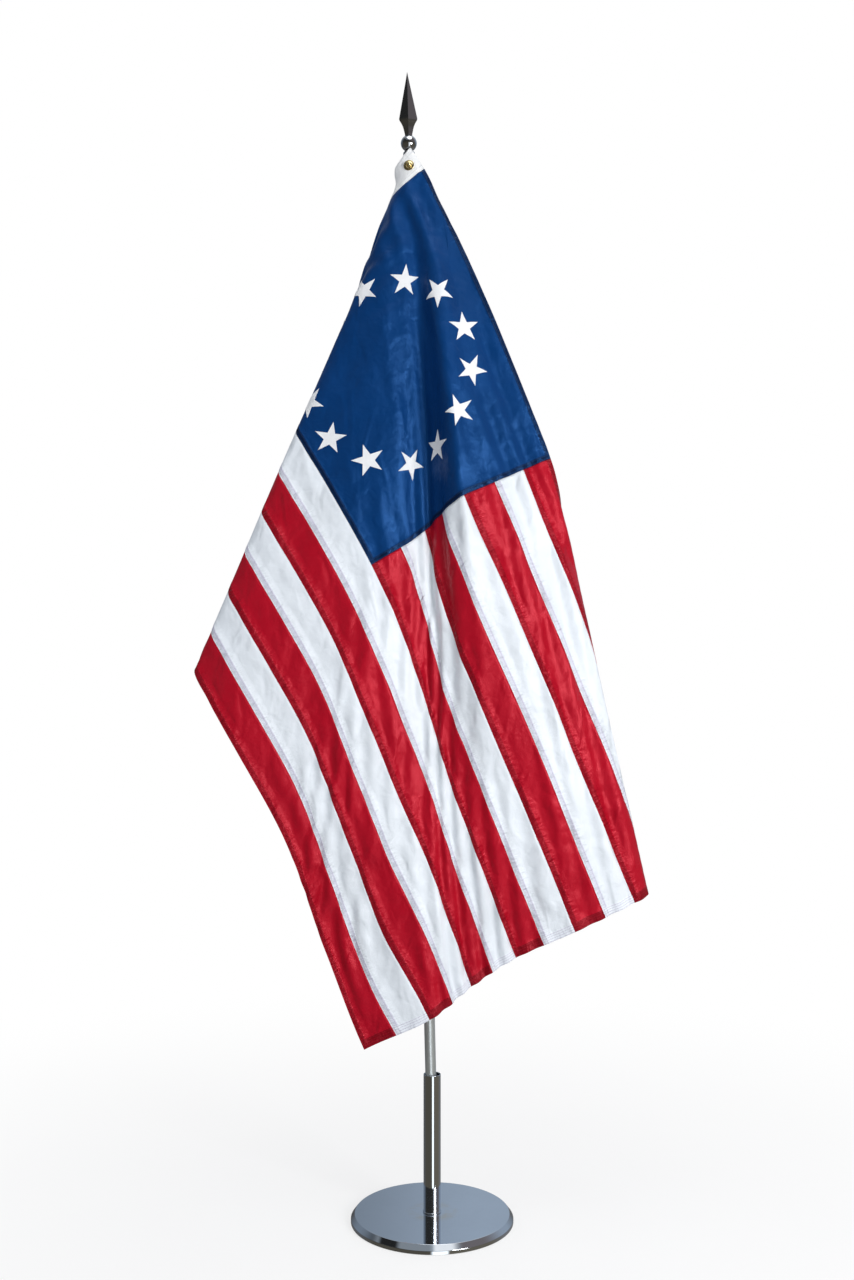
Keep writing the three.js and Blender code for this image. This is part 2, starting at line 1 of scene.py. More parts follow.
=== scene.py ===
"""The flag pole stand's visual model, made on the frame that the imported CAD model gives."""

import json
import math

import bmesh
import bpy
import numpy as np
from mathutils import Matrix, Vector


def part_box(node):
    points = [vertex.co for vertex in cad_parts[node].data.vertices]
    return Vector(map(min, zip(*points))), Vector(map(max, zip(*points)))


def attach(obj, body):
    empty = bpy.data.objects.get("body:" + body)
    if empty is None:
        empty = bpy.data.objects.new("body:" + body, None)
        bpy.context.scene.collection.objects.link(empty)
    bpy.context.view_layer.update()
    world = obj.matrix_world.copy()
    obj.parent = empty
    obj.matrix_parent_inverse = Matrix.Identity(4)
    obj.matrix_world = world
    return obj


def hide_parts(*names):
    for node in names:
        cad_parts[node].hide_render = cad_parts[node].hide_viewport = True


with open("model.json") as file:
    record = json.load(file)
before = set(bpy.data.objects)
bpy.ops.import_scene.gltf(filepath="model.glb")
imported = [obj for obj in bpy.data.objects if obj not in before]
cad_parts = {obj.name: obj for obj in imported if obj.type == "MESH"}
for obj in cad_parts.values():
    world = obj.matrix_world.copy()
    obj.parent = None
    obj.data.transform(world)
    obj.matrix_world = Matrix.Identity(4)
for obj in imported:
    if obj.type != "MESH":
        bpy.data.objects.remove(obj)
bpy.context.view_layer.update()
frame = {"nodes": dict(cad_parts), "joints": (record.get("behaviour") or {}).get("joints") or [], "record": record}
nodes = frame["nodes"]
record = frame["record"]
bodies = record["behaviour"]["bodies"]
body_of = {node: body for body, members in bodies.items() for node in members}
slot_of = {part["node"]: part["material_slot"] for part in record["subparts"]}
joints = {joint["name"]: joint for joint in frame["joints"]}
MM = 0.001

# ---- The flag, flat, in millimetres ----
FLAG_FLY = 1524
FLAG_HOIST = 914.4
STRIPES = 13
CANTON_STRIPES = 7
CANTON_FLY = 640
HEADER_WIDTH = 52
STRIPE_WIDTH = FLAG_HOIST / STRIPES
CANTON_HOIST = STRIPE_WIDTH * CANTON_STRIPES
GROMMET_INSET = 27
GROMMET_ALONG = -HEADER_WIDTH / 2
SEAM_BAND = 12  # width of a felled seam
CANTON_BAND = 10
FLY_HEM = 18
STITCH = 3.2  # length of one stitch and its gap
STITCH_HALF = 0.8  # half of a stitch's width, with its soft edge

# ---- Its drape: rays from the top corner of the header, and the same as in the CAD ----
FLAG_CORNER = np.array([-44.3, -16.0, 2176.0])
RAY_DISTANCE = np.array([50.0, 120, 700, 1150, 1600])
RAY_ANGLE = np.array(
    [0.0, 6, 12.5, 17.5, 22, 26, 30, 34, 40, 46, 50.5, 53, 55.5, 60, 66, 72, 78, 84, 88.3, 91]
)
# How far each ray turns to the right of straight down, in degrees, one row for each distance.
RAY_TURN = [
    [
        33.7, 28.8, 23.4, 19.3, 15.6, 12.4, 9.1, 5.8, 0.9, -4,
        -7.7, -9.8, -12, -15.5, -20.5, -25.4, -30, -35, -38.7, -41,
    ],
    [
        29.5, 23.7, 17.6, 12.8, 8.7, 5.2, 1.8, -1.6, -7, -12.6,
        -16.2, -18, -19.6, -21.6, -22, -19.5, -15, -9, -3, 1.35,
    ],
    [
        24.1, 18.7, 12.9, 8.1, 5.1, 3, 0.3, -3.3, -9.4, -15.4,
        -20.1, -22.3, -21.3, -18.5, -14, -9.5, -5.5, -1.5, 1.15, 2.5,
    ],
    [
        23.2, 18.1, 12.5, 7.6, 3.9, 1.6, -1.5, -5, -9.9, -15.8,
        -20.4, -22.6, -21.8, -18.5, -14, -9.5, -5.5, -1.5, 1.15, 2.5,
    ],
    [
        22, 17.9, 11.9, 7.3, 4.1, 1.4, -2.8, -6, -10.4, -16.2,
        -20.6, -22.8, -22, -18.5, -14, -9.5, -5.5, -1.5, 1.15, 2.5,
    ],
]
# How far behind the pole's axis the cloth lies there, in millimetres.
RAY_DEPTH = [
    [-16, -16, -18, -19, -20, -20, -20, -20, -20, -19, -18, -17, -16, -14, -11, -8, -5, -2, 1, 3],
    [-12, -15, -22, -27, -27, -24, -22, -22, -24, -22, -17, -13, -8, 0, 10, 18, 22, 22, 19, 17],
    [-45, -60, -82, -100, -60, -28, -34, -50, -46, -30, -16, 2, 18, 45, 20, 62, 30, 50, 18, 17],
    [-30, -52, -78, -76, -44, -34, -48, -52, -34, -30, -10, 14, 34, 75, 35, 100, 50, 80, 18, 17],
    [-10, -24, -44, -22, -28, -52, -32, -14, -20, -18, 0, 20, 40, 90, 40, 110, 60, 90, 18, 17],
]
# The lower right edge rolls to the back, beyond a line that leaves the top edge at this distance
# from the corner and moves into the flag by this much for each millimetre further.
ROLL_START = 760
ROLL_SLOPE = 0.2
ROLL_RADIUS = 16
ROLL_TURN = math.radians(165)


def slopes(places, values):
    """The slope at each place of a curve that doesn't overshoot between its values."""
    steps = np.diff(values, axis=0) / np.diff(places)[:, None]
    before, after = steps[:-1], steps[1:]
    same_way = before * after > 0
    result = np.empty_like(values)
    result[0], result[-1] = steps[0], steps[-1]
    result[1:-1] = np.where(same_way, 2 * before * after / np.where(same_way, before + after, 1), 0)
    return result


def curve_at(places, values, at):
    """values has a row for each place, and one column or a column for each at."""
    slope = slopes(places, values)
    values = np.broadcast_to(values, (len(places), len(at)))
    slope = np.broadcast_to(slope, values.shape)
    low = np.clip(np.searchsorted(places, at, side="right") - 1, 0, len(places) - 2)
    span = places[low + 1] - places[low]
    t = np.clip((at - places[low]) / span, 0, 1)
    column = np.arange(len(at))
    return (
        (2 * t**3 - 3 * t**2 + 1) * values[low, column]
        + (t**3 - 2 * t**2 + t) * span * slope[low, column]
        + (3 * t**2 - 2 * t**3) * values[low + 1, column]
        + (t**3 - t**2) * span * slope[low + 1, column]
    )


def net_value(net, distance, angle):
    rows = [curve_at(RAY_ANGLE, np.array(row, float)[:, None], angle) for row in net]
    return curve_at(RAY_DISTANCE, np.array(rows), distance)


def ray_point(distance, angle):
    near = np.minimum(distance / RAY_DISTANCE[0], 1)
    turn = np.radians(net_value(RAY_TURN, distance, angle))
    depth = (net_value(RAY_DEPTH, distance, angle) - FLAG_CORNER[1]) * near * near
    fall = np.sqrt(np.maximum(distance**2 - depth**2, 0))
    return FLAG_CORNER + np.stack([fall * np.sin(turn), depth, -fall * np.cos(turn)], axis=-1)


def unit(vectors):
    return vectors / np.maximum(np.linalg.norm(vectors, axis=-1, keepdims=True), 1e-9)


def drape_point(along, down):
    """Where a place on the flat flag hangs, in millimetres, before the cloth is relaxed."""
    along, down = np.atleast_1d(along).astype(float), np.atleast_1d(down).astype(float)
    distance = np.maximum(np.hypot(along + HEADER_WIDTH, down), 1)
    angle = np.degrees(np.arctan2(down, along + HEADER_WIDTH))
    roll_line = ROLL_SLOPE * (distance - ROLL_START) + ROLL_RADIUS * math.pi / 2
    roll_from = np.degrees(roll_line / distance)
    start = ray_point(distance, np.maximum(angle, roll_from))
    outward = unit(ray_point(distance, roll_from) - ray_point(distance, roll_from + 0.25))
    backward = unit(np.cross(unit(ray_point(distance, roll_from) - FLAG_CORNER), outward))
    backward = backward * np.sign(backward[:, 1:2])
    beyond = np.radians(np.maximum(roll_from - angle, 0)) * distance
    bend = np.minimum(beyond / ROLL_RADIUS, ROLL_TURN)
    rest = beyond - bend * ROLL_RADIUS
    out = ROLL_RADIUS * np.sin(bend) + rest * np.cos(bend)
    back = ROLL_RADIUS * (1 - np.cos(bend)) + rest * np.sin(bend)
    return start + outward * out[:, None] + backward * back[:, None]


def drape_normal(along, down):
    """Which way the front of the cloth faces there."""
    step = 3
    alongward = drape_point(along + step, down) - drape_point(along - step, down)
    downward = drape_point(along, down + step) - drape_point(along, down - step)
    return unit(np.cross(downward, alongward))


# ---- The cloth, relaxed on one grid over the whole flag ----
HEADER_STEPS = 9
CANTON_STEPS = 128
STRIPE_STEPS = 176
STEPS_DOWN = 14  # in one stripe's width
RELAX_ROUNDS = 260
STIFFNESS = 0.5  # how much of each sharp bend is taken out in a round
GATHER = 0.0012  # how much a seam's thread draws its cloth in
FOLD_SEED = 1776
FOLD_WAVES = 14
FOLD_HEIGHT = 0.4
FOLD_FADE_ALONG = 60  # the folds grow to full height over this much cloth from the header
FOLD_FADE_DISTANCE = 600  # and over this much from the corner
CALM = 0.8  # how near the relaxed lengths are to the drape's, from 0 to 1
SAG = 0.12  # how far the cloth drops in a round, which keeps it taut down its length
HOLD = 0.4  # how much of a wide drift from the drape is taken back, every HOLD_ROUNDS rounds
HOLD_ROUNDS = 3
HOLD_REACH = 6
POLE_CLEARANCE = 3.5
ALONG_LINES = np.concatenate([
    np.linspace(-HEADER_WIDTH, 0, HEADER_STEPS + 1)[:-1],
    np.linspace(0, CANTON_FLY, CANTON_STEPS + 1)[:-1],
    np.linspace(CANTON_FLY, FLAG_FLY, STRIPE_STEPS + 1),
])
DOWN_LINES = np.linspace(0, FLAG_HOIST, STRIPES * STEPS_DOWN + 1)


def pole_axis():
    """The pole's foot and its direction, in millimetres."""
    turn = joints["pole_turn"]
    return np.array(turn["pos_m"]) / MM, unit(np.array(turn["axis"], float))


def blurred(field, reach):
    """field averaged over a square of 2 * reach + 1 grid lines each way."""
    for axis in (0, 1):
        padding = [(0, 0)] * field.ndim
        padding[axis] = (reach + 1, reach)
        total = np.cumsum(np.pad(field, padding, mode="edge"), axis=axis)
        size = field.shape[axis]
        ahead = np.take(total, range(2 * reach + 1, 2 * reach + 1 + size), axis=axis)
        behind = np.take(total, range(size), axis=axis)
        field = (ahead - behind) / (2 * reach + 1)
    return field


def draw_together(first, second, rest):
    """Moves two views of the cloth's points so that each pair is its rest length apart."""
    gap = second - first
    length = np.maximum(np.linalg.norm(gap, axis=-1, keepdims=True), 1e-6)
    move = gap * (1 - rest[..., None] / length) * 0.5
    first += move
    second -= move


def clear_of_pole(cloth):
    foot, axis = pole_axis()
    pole_radius = (nodes["lower_pole_tube"].dimensions.y / 2) / MM
    away = cloth - foot
    away = away - (away @ axis)[..., None] * axis
    distance = np.linalg.norm(away, axis=-1, keepdims=True)
    short = np.maximum(pole_radius + POLE_CLEARANCE - distance, 0)
    cloth += away / np.maximum(distance, 1e-6) * short


def cloth_step(flat_step, drape_step):
    """The lengths that the relaxing aims at, between the flat cloth's and the drape's."""
    return flat_step * (1 - CALM) + np.linalg.norm(drape_step, axis=-1) * CALM


def slack_folds(along, down):
    """The height of faint long folds that run down the rays, as hanging cloth has."""
    rng = np.random.default_rng(FOLD_SEED)
    distance = np.hypot(along + HEADER_WIDTH, down)
    angle = np.degrees(np.arctan2(down, along + HEADER_WIDTH))
    height = np.zeros(along.shape)
    for _ in range(FOLD_WAVES):
        across = rng.uniform(0.2, 0.9)  # radians for each degree round the corner
        lengthwise = rng.uniform(-0.012, 0.012)  # and for each millimetre down the ray
        height += np.sin(across * angle + lengthwise * distance + rng.uniform(0, 2 * math.pi))
    near_header = np.clip(along / FOLD_FADE_ALONG, 0, 1)
    near_corner = np.clip(distance / FOLD_FADE_DISTANCE, 0, 1)
    return height * FOLD_HEIGHT * near_header * near_corner


def relaxed_cloth():
    """The draped grid, let go a little, so that it evens out as cloth does."""
    down, along = np.meshgrid(DOWN_LINES, ALONG_LINES, indexing="ij")
    drape = drape_point(along.ravel(), down.ravel()).reshape(*down.shape, 3)
    normal = unit(np.cross(np.gradient(drape, axis=0), np.gradient(drape, axis=1)))
    cloth = drape + normal * slack_folds(along, down)[..., None]
    step_along = cloth_step(np.diff(ALONG_LINES)[None, :], np.diff(drape, axis=1))
    seams = np.arange(len(DOWN_LINES)) % STEPS_DOWN == 0
    step_along[seams] *= 1 - GATHER
    step_down = cloth_step(np.diff(DOWN_LINES)[:, None], np.diff(drape, axis=0))
    flat_diagonal = np.hypot(np.diff(ALONG_LINES)[None, :], np.diff(DOWN_LINES)[:, None])
    falling = cloth_step(flat_diagonal, drape[1:, 1:] - drape[:-1, :-1])
    rising = cloth_step(flat_diagonal, drape[1:, :-1] - drape[:-1, 1:])
    held = HEADER_STEPS + 1
    for turn in range(RELAX_ROUNDS):
        for odd in (0, 1):
            pairs = (len(ALONG_LINES) - odd) // 2
            first, second = cloth[:, odd::2][:, :pairs], cloth[:, odd + 1::2][:, :pairs]
            draw_together(first, second, step_along[:, odd::2][:, :pairs])
            pairs = (len(DOWN_LINES) - odd) // 2
            first, second = cloth[odd::2][:pairs], cloth[odd + 1::2][:pairs]
            draw_together(first, second, step_down[odd::2][:pairs])
            draw_together(first[:, :-1], second[:, 1:], falling[odd::2][:pairs])
            draw_together(first[:, 1:], second[:, :-1], rising[odd::2][:pairs])
        bend = blurred(cloth, 1) - cloth
        cloth -= STIFFNESS * (blurred(bend, 1) - bend)
        cloth[..., 2] -= SAG
        if turn % HOLD_ROUNDS == 0:
            cloth -= HOLD * blurred(cloth - drape, HOLD_REACH)
            clear_of_pole(cloth)
        cloth[:, :held] = drape[:, :held]
    return cloth


cloth_grid = relaxed_cloth()


def cubic_weights(t):
    """The weights of four points in a row on a smooth curve through the middle two."""
    return np.stack([
        (-t + 2 * t**2 - t**3) / 2,
        (2 - 5 * t**2 + 3 * t**3) / 2,
        (t + 4 * t**2 - 3 * t**3) / 2,
        (-(t**2) + t**3) / 2,
    ])


def cloth_at(along, down):
    """Where places on the flat flag hang on the relaxed cloth, in millimetres."""
    column = np.interp(along, ALONG_LINES, np.arange(len(ALONG_LINES)))
    row = np.interp(down, DOWN_LINES, np.arange(len(DOWN_LINES)))
    low_column = np.minimum(column.astype(int), len(ALONG_LINES) - 2)
    low_row = np.minimum(row.astype(int), len(DOWN_LINES) - 2)
    across, below = cubic_weights(column - low_column), cubic_weights(row - low_row)
    total = 0
    for i in range(4):
        rows = np.clip(low_row + i - 1, 0, len(DOWN_LINES) - 1)
        for j in range(4):
            columns = np.clip(low_column + j - 1, 0, len(ALONG_LINES) - 1)
            total = total + (below[i] * across[j])[..., None] * cloth_grid[rows, columns]
    return total


def cloth_normal(along, down):
    step = 2
    above, below = np.maximum(down - step, 0), np.minimum(down + step, FLAG_HOIST)
    alongward = cloth_at(np.minimum(along + step, FLAG_FLY), down) - cloth_at(along - step, down)
    downward = cloth_at(along, below) - cloth_at(along, above)
    return unit(np.cross(downward, alongward))


# ---- Shader nodes ----
# The sockets of a Mix node that mixes two colours.
MIX_SHARE = 0
MIX_A = 6
MIX_B = 7
MIX_COLOUR = 2


class Nodes:
    """A node tree, and a short call for each kind of node in it."""

    def __init__(self, tree):
        self.tree = tree

    def put(self, socket, value):
        if isinstance(value, bpy.types.NodeSocket):
            self.tree.links.new(value, socket)
        else:
            socket.default_value = value

    def node(self, kind, inputs, output=0, **settings):
        made = self.tree.nodes.new("ShaderNode" + kind)
        for name, value in settings.items():
            setattr(made, name, value)
        for name, value in inputs.items():
            self.put(made.inputs[name], value)
        return made.outputs[output]

    def math(self, operation, a, b=0.0):
        return self.node("Math", {0: a, 1: b}, operation=operation)

    def add(self, a, b):
        return self.math("ADD", a, b)

    def times(self, a, b):
        return self.math("MULTIPLY", a, b)

    def step(self, value, low, high, start=0.0, end=1.0, kind="SMOOTHSTEP"):
        """A change from start to end as value goes from low to high."""
        inputs = {"Value": value, "From Min": low, "From Max": high, "To Min": start, "To Max": end}
        return self.node("MapRange", inputs, interpolation_type=kind)

    def mix(self, share, a, b):
        """From colour a to colour b by that share."""
        a, b = (c if isinstance(c, bpy.types.NodeSocket) else (*c, 1.0) for c in (a, b))
        return self.node("Mix", {MIX_SHARE: share, MIX_A: a, MIX_B: b}, MIX_COLOUR, data_type="RGBA")

    def ramp(self, value, stops):
        """The colour at value, between the (value, colour) stops."""
        made = self.tree.nodes.new("ShaderNodeValToRGB")
        elements = made.color_ramp.elements
        for element, (position, colour) in zip(elements, (stops[0], stops[-1])):
            element.position = position
            element.color = (*colour, 1)
        for position, colour in stops[1:-1]:
            elements.new(position).color = (*colour, 1)
        self.put(made.inputs[0], value)
        return made.outputs[0]


class Paint(Nodes):
    """A material, with the places and patterns that it is painted by."""

    def __init__(self, name):
        self.material = bpy.data.materials.new(name)
        self.material.use_nodes = True
        super().__init__(self.material.node_tree)
        self.surface = self.tree.nodes["Principled BSDF"]

    def finish(self, **values):
        """Sets the surface's sockets, and gives the material."""
        for name, value in values.items():
            self.put(self.surface.inputs[name.replace("_", " ")], value)
        return self.material

    def place(self):
        """The place on the piece, in metres."""
        return self.node("TexCoord", {}, "Object")

    def cloth_place(self):
        """The distances from the cloth's fly edge and from its lower edge, in millimetres."""
        uv = self.node("TexCoord", {}, "UV")
        return self.node("SeparateXYZ", {0: uv}, 0), self.node("SeparateXYZ", {0: uv}, 1)

    def noise(self, scale, where=None, detail=3.0, roughness=0.55, swirl=0.0):
        inputs = {
            "Vector": where or self.place(),
            "Scale": scale,
            "Detail": detail,
            "Roughness": roughness,
            "Distortion": swirl,
        }
        return self.node("TexNoise", inputs)

    def stretched(self, x, y, z):
        return self.node("VectorMath", {0: self.place(), 1: (x, y, z)}, operation="MULTIPLY")

    def mottled(self, pattern, colour, dark, light):
        """The colour, darker where the pattern is low and lighter where it is high."""
        return self.mix(self.step(pattern, 0.3, 0.7), shade(colour, dark), shade(colour, light))

    def bump(self, height, distance, strength=1.0, under=None):
        inputs = {"Height": height, "Distance": distance, "Strength": strength}
        if under is not None:
            inputs["Normal"] = under
        return self.node("Bump", inputs)


# ---- Materials ----
def shade(colour, amount):
    return tuple(channel * amount for channel in colour)


def weave(paint, along, down, pitch):
    """Threads over and under each other, as a height from -1 to 1."""
    turns = 2 * math.pi / pitch
    return paint.times(
        paint.math("SINE", paint.times(along, turns)),
        paint.math("SINE", paint.times(down, turns)),
    )


def stitch_row(paint, across, along, row):
    """1 on the stitches of one row, which runs at that distance across."""
    off = paint.math("ABSOLUTE", paint.add(across, -row))
    on_row = paint.step(off, STITCH_HALF, STITCH_HALF * 0.4)
    part = paint.math("FRACT", paint.times(along, 1 / STITCH))
    dash = paint.step(paint.math("ABSOLUTE", paint.add(part, -0.5)), 0.42, 0.36)
    return paint.times(on_row, dash)


def stitched(paint, *bands):
    """1 on every stitch. A band is the distance across it, the distance along it, and its rows."""
    total = None
    for across, along, rows in bands:
        for row in rows:
            stitches = stitch_row(paint, across, along, row)
            total = stitches if total is None else paint.math("MAXIMUM", total, stitches)
    return total


SEAM_ROWS = (3.0, 9.6)
HEM_ROWS = (2.2, 6.8, 11.4, 16.0)
CANTON_ROWS = (2.0, 8.2)
EDGE_ROWS = (2.5, 10.5)
EDGE_HEM = 12  # the hem along the flag's top and bottom edges


def crumpled(paint, depth=1.0):
    """Nylon's soft folds, its small flat facets and a few sharp creases, as a bumped normal."""
    folds = paint.noise(10.0, detail=2.0, roughness=0.5)
    facets = paint.noise(1.0, paint.stretched(24.0, 24.0, 13.0), detail=1.0, roughness=0.4, swirl=0.7)
    fine = paint.noise(50.0, detail=1.5, roughness=0.5, swirl=0.4)
    lines = paint.noise(1.0, paint.stretched(7.0, 7.0, 3.0), detail=1.0)
    lines = paint.step(paint.math("ABSOLUTE", paint.add(lines, -0.5)), 0.02, 0.0)
    creases = paint.times(lines, paint.step(paint.noise(6.0, detail=1.0), 0.5, 0.62))
    normal = paint.bump(folds, 0.014, 0.7 * depth)
    normal = paint.bump(facets, 0.009, 0.9 * depth, under=normal)
    normal = paint.bump(fine, 0.0022, 0.8, under=normal)
    return paint.bump(creases, 0.0009, 0.8, under=normal)


def gathers(paint, place, crowding, from_seam, start, full, detail=2.0):
    """Small gathers that a seam's threads draw in, from where they start to where they are full."""
    where = paint.node("CombineXYZ", {axis: paint.times(place[axis], crowding[axis]) for axis in (0, 1)})
    return paint.times(paint.noise(1.0, where, detail=detail), paint.step(from_seam, start, full))


def satin(paint, place, base, normal, stitches, shine, tint):
    """Filament nylon's stitches, weave and gloss, whose highlights take the colour of the cloth."""
    normal = paint.bump(stitches, 0.0004, 0.8, under=normal)
    normal = paint.bump(weave(paint, *place, 0.7), 0.00006, 0.5, under=normal)
    return paint.finish(
        Base_Color=base,
        Roughness=paint.step(paint.noise(23.0), 0.25, 0.75, 0.3, 0.42),
        Specular_IOR_Level=shine,
        Specular_Tint=(*tint, 1.0),
        Normal=normal,
    )


def nylon(name, colour, seam_colour, hem_colour, thread, shine, tint, seam=(0.5, SEAM_BAND), top=None):
    """Woven nylon with a satin sheen, a felled seam at its lower edge and a hem at its fly edge.
    top is the cloth's width where its upper edge is hemmed."""
    paint = Paint(name)
    from_fly, from_low = place = paint.cloth_place()
    seam_starts = paint.step(from_low, seam[0], seam[0] + 0.6)
    seam_ends = paint.step(from_low, seam[1] + 0.4, seam[1])
    in_hem = paint.step(from_fly, FLY_HEM + 0.4, FLY_HEM - 0.2)
    bands = [(from_low, from_fly, SEAM_ROWS), (from_fly, from_low, HEM_ROWS)]
    from_seam = from_low
    if top is not None:
        from_top = paint.math("SUBTRACT", top, from_low)
        in_hem = paint.math("MAXIMUM", in_hem, paint.step(from_top, EDGE_HEM + 0.4, EDGE_HEM - 0.2))
        bands.append((from_top, from_fly, EDGE_ROWS))
        from_seam = paint.math("MINIMUM", from_low, from_top)
    stitches = stitched(paint, *bands)
    base = paint.mottled(paint.noise(7.0, detail=4.0), colour, 0.9, 1.0)
    base = paint.mix(paint.times(seam_starts, seam_ends), base, seam_colour)
    base = paint.mix(in_hem, base, hem_colour)
    base = paint.mix(paint.times(stitches, 0.75), base, thread)
    at_seam = gathers(paint, place, (0.13, 0.035), from_seam, SEAM_BAND * 2.2, SEAM_BAND * 0.6)
    at_hem = gathers(paint, place, (0.035, 0.12), from_fly, FLY_HEM * 1.7, FLY_HEM * 0.6)
    normal = paint.bump(at_seam, 0.008, 0.9, under=crumpled(paint))
    normal = paint.bump(at_hem, 0.0028, 0.8, under=normal)
    return satin(paint, place, base, normal, stitches, shine, tint)


def canton_nylon(name, colour, band_colour, thread, shine, tint):
    """Blue nylon with a darker sewn band along its top, fly and lower edges."""
    paint = Paint(name)
    from_fly, from_low = place = paint.cloth_place()
    from_top = paint.math("SUBTRACT", CANTON_HOIST, from_low)
    nearest = paint.math("MINIMUM", from_fly, paint.math("MINIMUM", from_low, from_top))
    in_band = paint.step(nearest, CANTON_BAND + 0.4, CANTON_BAND - 0.2)
    bands = [(from_fly, from_low), (from_low, from_fly), (from_top, from_fly)]
    stitches = stitched(paint, *((across, along, CANTON_ROWS) for across, along in bands))
    base = paint.mottled(paint.noise(7.0, detail=4.0), colour, 0.86, 1.0)
    base = paint.mix(in_band, base, band_colour)
    base = paint.mix(paint.times(stitches, 0.6), base, thread)
    at_band = gathers(paint, place, (0.07, 0.07), nearest, CANTON_BAND * 3, CANTON_BAND * 0.5, 3.0)
    normal = paint.bump(at_band, 0.004, 0.7, under=crumpled(paint, 0.55))
    return satin(paint, place, base, normal, stitches, shine, tint)


def star_cloth(name, colour):
    """White stitched star: closely laid satin stitch over the cloth."""
    paint = Paint(name)
    across, down = paint.cloth_place()
    ribs = paint.math("SINE", paint.times(paint.add(across, paint.times(down, 0.35)), 2 * math.pi / 0.9))
    # Painted shade: the star's colour is darker in the grooves between its stitch ribs.
    base = paint.mix(paint.step(ribs, -1.0, 1.0), shade(colour, 0.86), colour)
    base = paint.mix(paint.step(paint.noise(60.0), 0.35, 0.75, 0.0, 0.5), base, shade(colour, 0.9))
    normal = paint.bump(ribs, 0.00012, 0.8)
    normal = paint.bump(paint.noise(160.0), 0.0006, 0.5, under=normal)
    return paint.finish(Base_Color=base, Roughness=0.48, Sheen_Weight=0.3, Normal=normal)


def canvas(name, colour):
    """Duck canvas: a coarse plain weave, with two sewn rows along each long edge."""
    paint = Paint(name)
    from_seam, from_low = paint.cloth_place()
    from_hoist = paint.math("SUBTRACT", float(HEADER_WIDTH), from_seam)
    threads = weave(paint, from_seam, from_low, 1.3)
    slubs = paint.noise(1.0, paint.stretched(260.0, 260.0, 40.0))
    bands = [(from_seam, from_low, CANTON_ROWS), (from_hoist, from_low, EDGE_ROWS)]
    stitches = stitched(paint, *bands)
    base = paint.mottled(slubs, colour, 0.93, 1.0)
    # Painted shade: the canvas is darker where the weave dips, in the hollows between its threads.
    base = paint.mix(paint.step(threads, 0.2, -1.0, 0.0, 0.35), base, shade(colour, 0.75))
    base = paint.mix(paint.times(stitches, 0.5), base, shade(colour, 0.7))
    normal = paint.bump(paint.noise(28.0), 0.003, 0.5)
    normal = paint.bump(threads, 0.00022, 0.7, under=normal)
    normal = paint.bump(stitches, 0.0005, 0.8, under=normal)
    return paint.finish(Base_Color=base, Roughness=0.82, Sheen_Weight=0.15, Normal=normal)


def felt(name, colour):
    paint = Paint(name)
    fibres = paint.noise(700.0, detail=6.0, roughness=0.75)
    base = paint.mottled(fibres, colour, 0.6, 1.5)
    normal = paint.bump(fibres, 0.0008, 0.9)
    return paint.finish(Base_Color=base, Roughness=0.95, Sheen_Weight=0.5, Normal=normal)


def polished(name, colour, roughness, finish_base=None):
    """Polished plate: faint wiping marks in its roughness, and a trace of unevenness."""
    paint = Paint(name)
    marks = paint.noise(9.0, detail=6.0, roughness=0.7)
    rough = paint.step(marks, 0.35, 0.75, roughness, roughness + 0.06)
    base = paint.mix(paint.step(marks, 0.4, 0.8, 0.0, 0.35), colour, shade(colour, 0.88))
    if finish_base is not None:
        base = finish_base(paint, base)
    normal = paint.bump(paint.noise(30.0, detail=2.0), 0.00003, 0.3)
    return paint.finish(Base_Color=base, Metallic=1.0, Roughness=rough, Normal=normal)


def foot_tan_ring(paint, base):
    """A faint tan tint in the cover's colour, in a broken ring round the tube's foot."""
    away = paint.node("VectorMath", {0: paint.stretched(1.0, 1.0, 0.0)}, "Value", operation="LENGTH")
    ring = paint.times(paint.step(away, 0.02, 0.032), paint.step(away, 0.058, 0.034))
    broken = paint.times(ring, paint.step(paint.noise(34.0), 0.35, 0.75))
    return paint.mix(paint.times(broken, 0.55), base, (0.66, 0.54, 0.36))


def drawn_steel(name, colour):
    """A satin tube, with fine marks drawn along its length."""
    paint = Paint(name)
    lines = paint.noise(1.0, paint.stretched(1900.0, 1900.0, 9.0), detail=4.0)
    cloud = paint.noise(6.0, detail=5.0)
    base = paint.mottled(lines, colour, 0.86, 1.06)
    rough = paint.add(paint.step(lines, 0.3, 0.7, 0.28, 0.36), paint.step(cloud, 0.4, 0.8, 0.0, 0.07))
    normal = paint.bump(lines, 0.00004, 0.6)
    return paint.finish(Base_Color=base, Metallic=0.75, Roughness=rough, Normal=normal)


def plated(name, colour):
    """Zinc plate over turned steel: a cloudy bloom and fine turning marks."""
    paint = Paint(name)
    bloom = paint.noise(160.0, detail=5.0)
    turning = paint.noise(1.0, paint.stretched(60.0, 60.0, 2600.0))
    base = paint.mottled(bloom, colour, 0.78, 1.1)
    rough = paint.step(bloom, 0.3, 0.7, 0.34, 0.52)
    normal = paint.bump(turning, 0.00006, 0.6)
    return paint.finish(Base_Color=base, Metallic=1.0, Roughness=rough, Normal=normal)


def cast_iron(name, colour):
    paint = Paint(name)
    grain = paint.noise(240.0, detail=6.0, roughness=0.7)
    base = paint.mottled(grain, colour, 0.6, 1.5)
    normal = paint.bump(grain, 0.0008, 0.8)
    return paint.finish(Base_Color=base, Metallic=0.3, Roughness=0.72, Normal=normal)


def polished_brass(name, colour):
    """Brass with a little tarnish in patches and a fine brushed grain."""
    paint = Paint(name)
    tarnish = paint.noise(120.0, detail=5.0, roughness=0.65)
    tarnished = (colour[0] * 0.6, colour[1] * 0.52, colour[2] * 0.45)
    base = paint.mix(paint.step(tarnish, 0.45, 0.75), colour, tarnished)
    rough = paint.step(tarnish, 0.4, 0.75, 0.16, 0.36)
    normal = paint.bump(paint.noise(1500.0, detail=2.0), 0.00003, 0.5)
    return paint.finish(Base_Color=base, Metallic=1.0, Roughness=rough, Normal=normal)


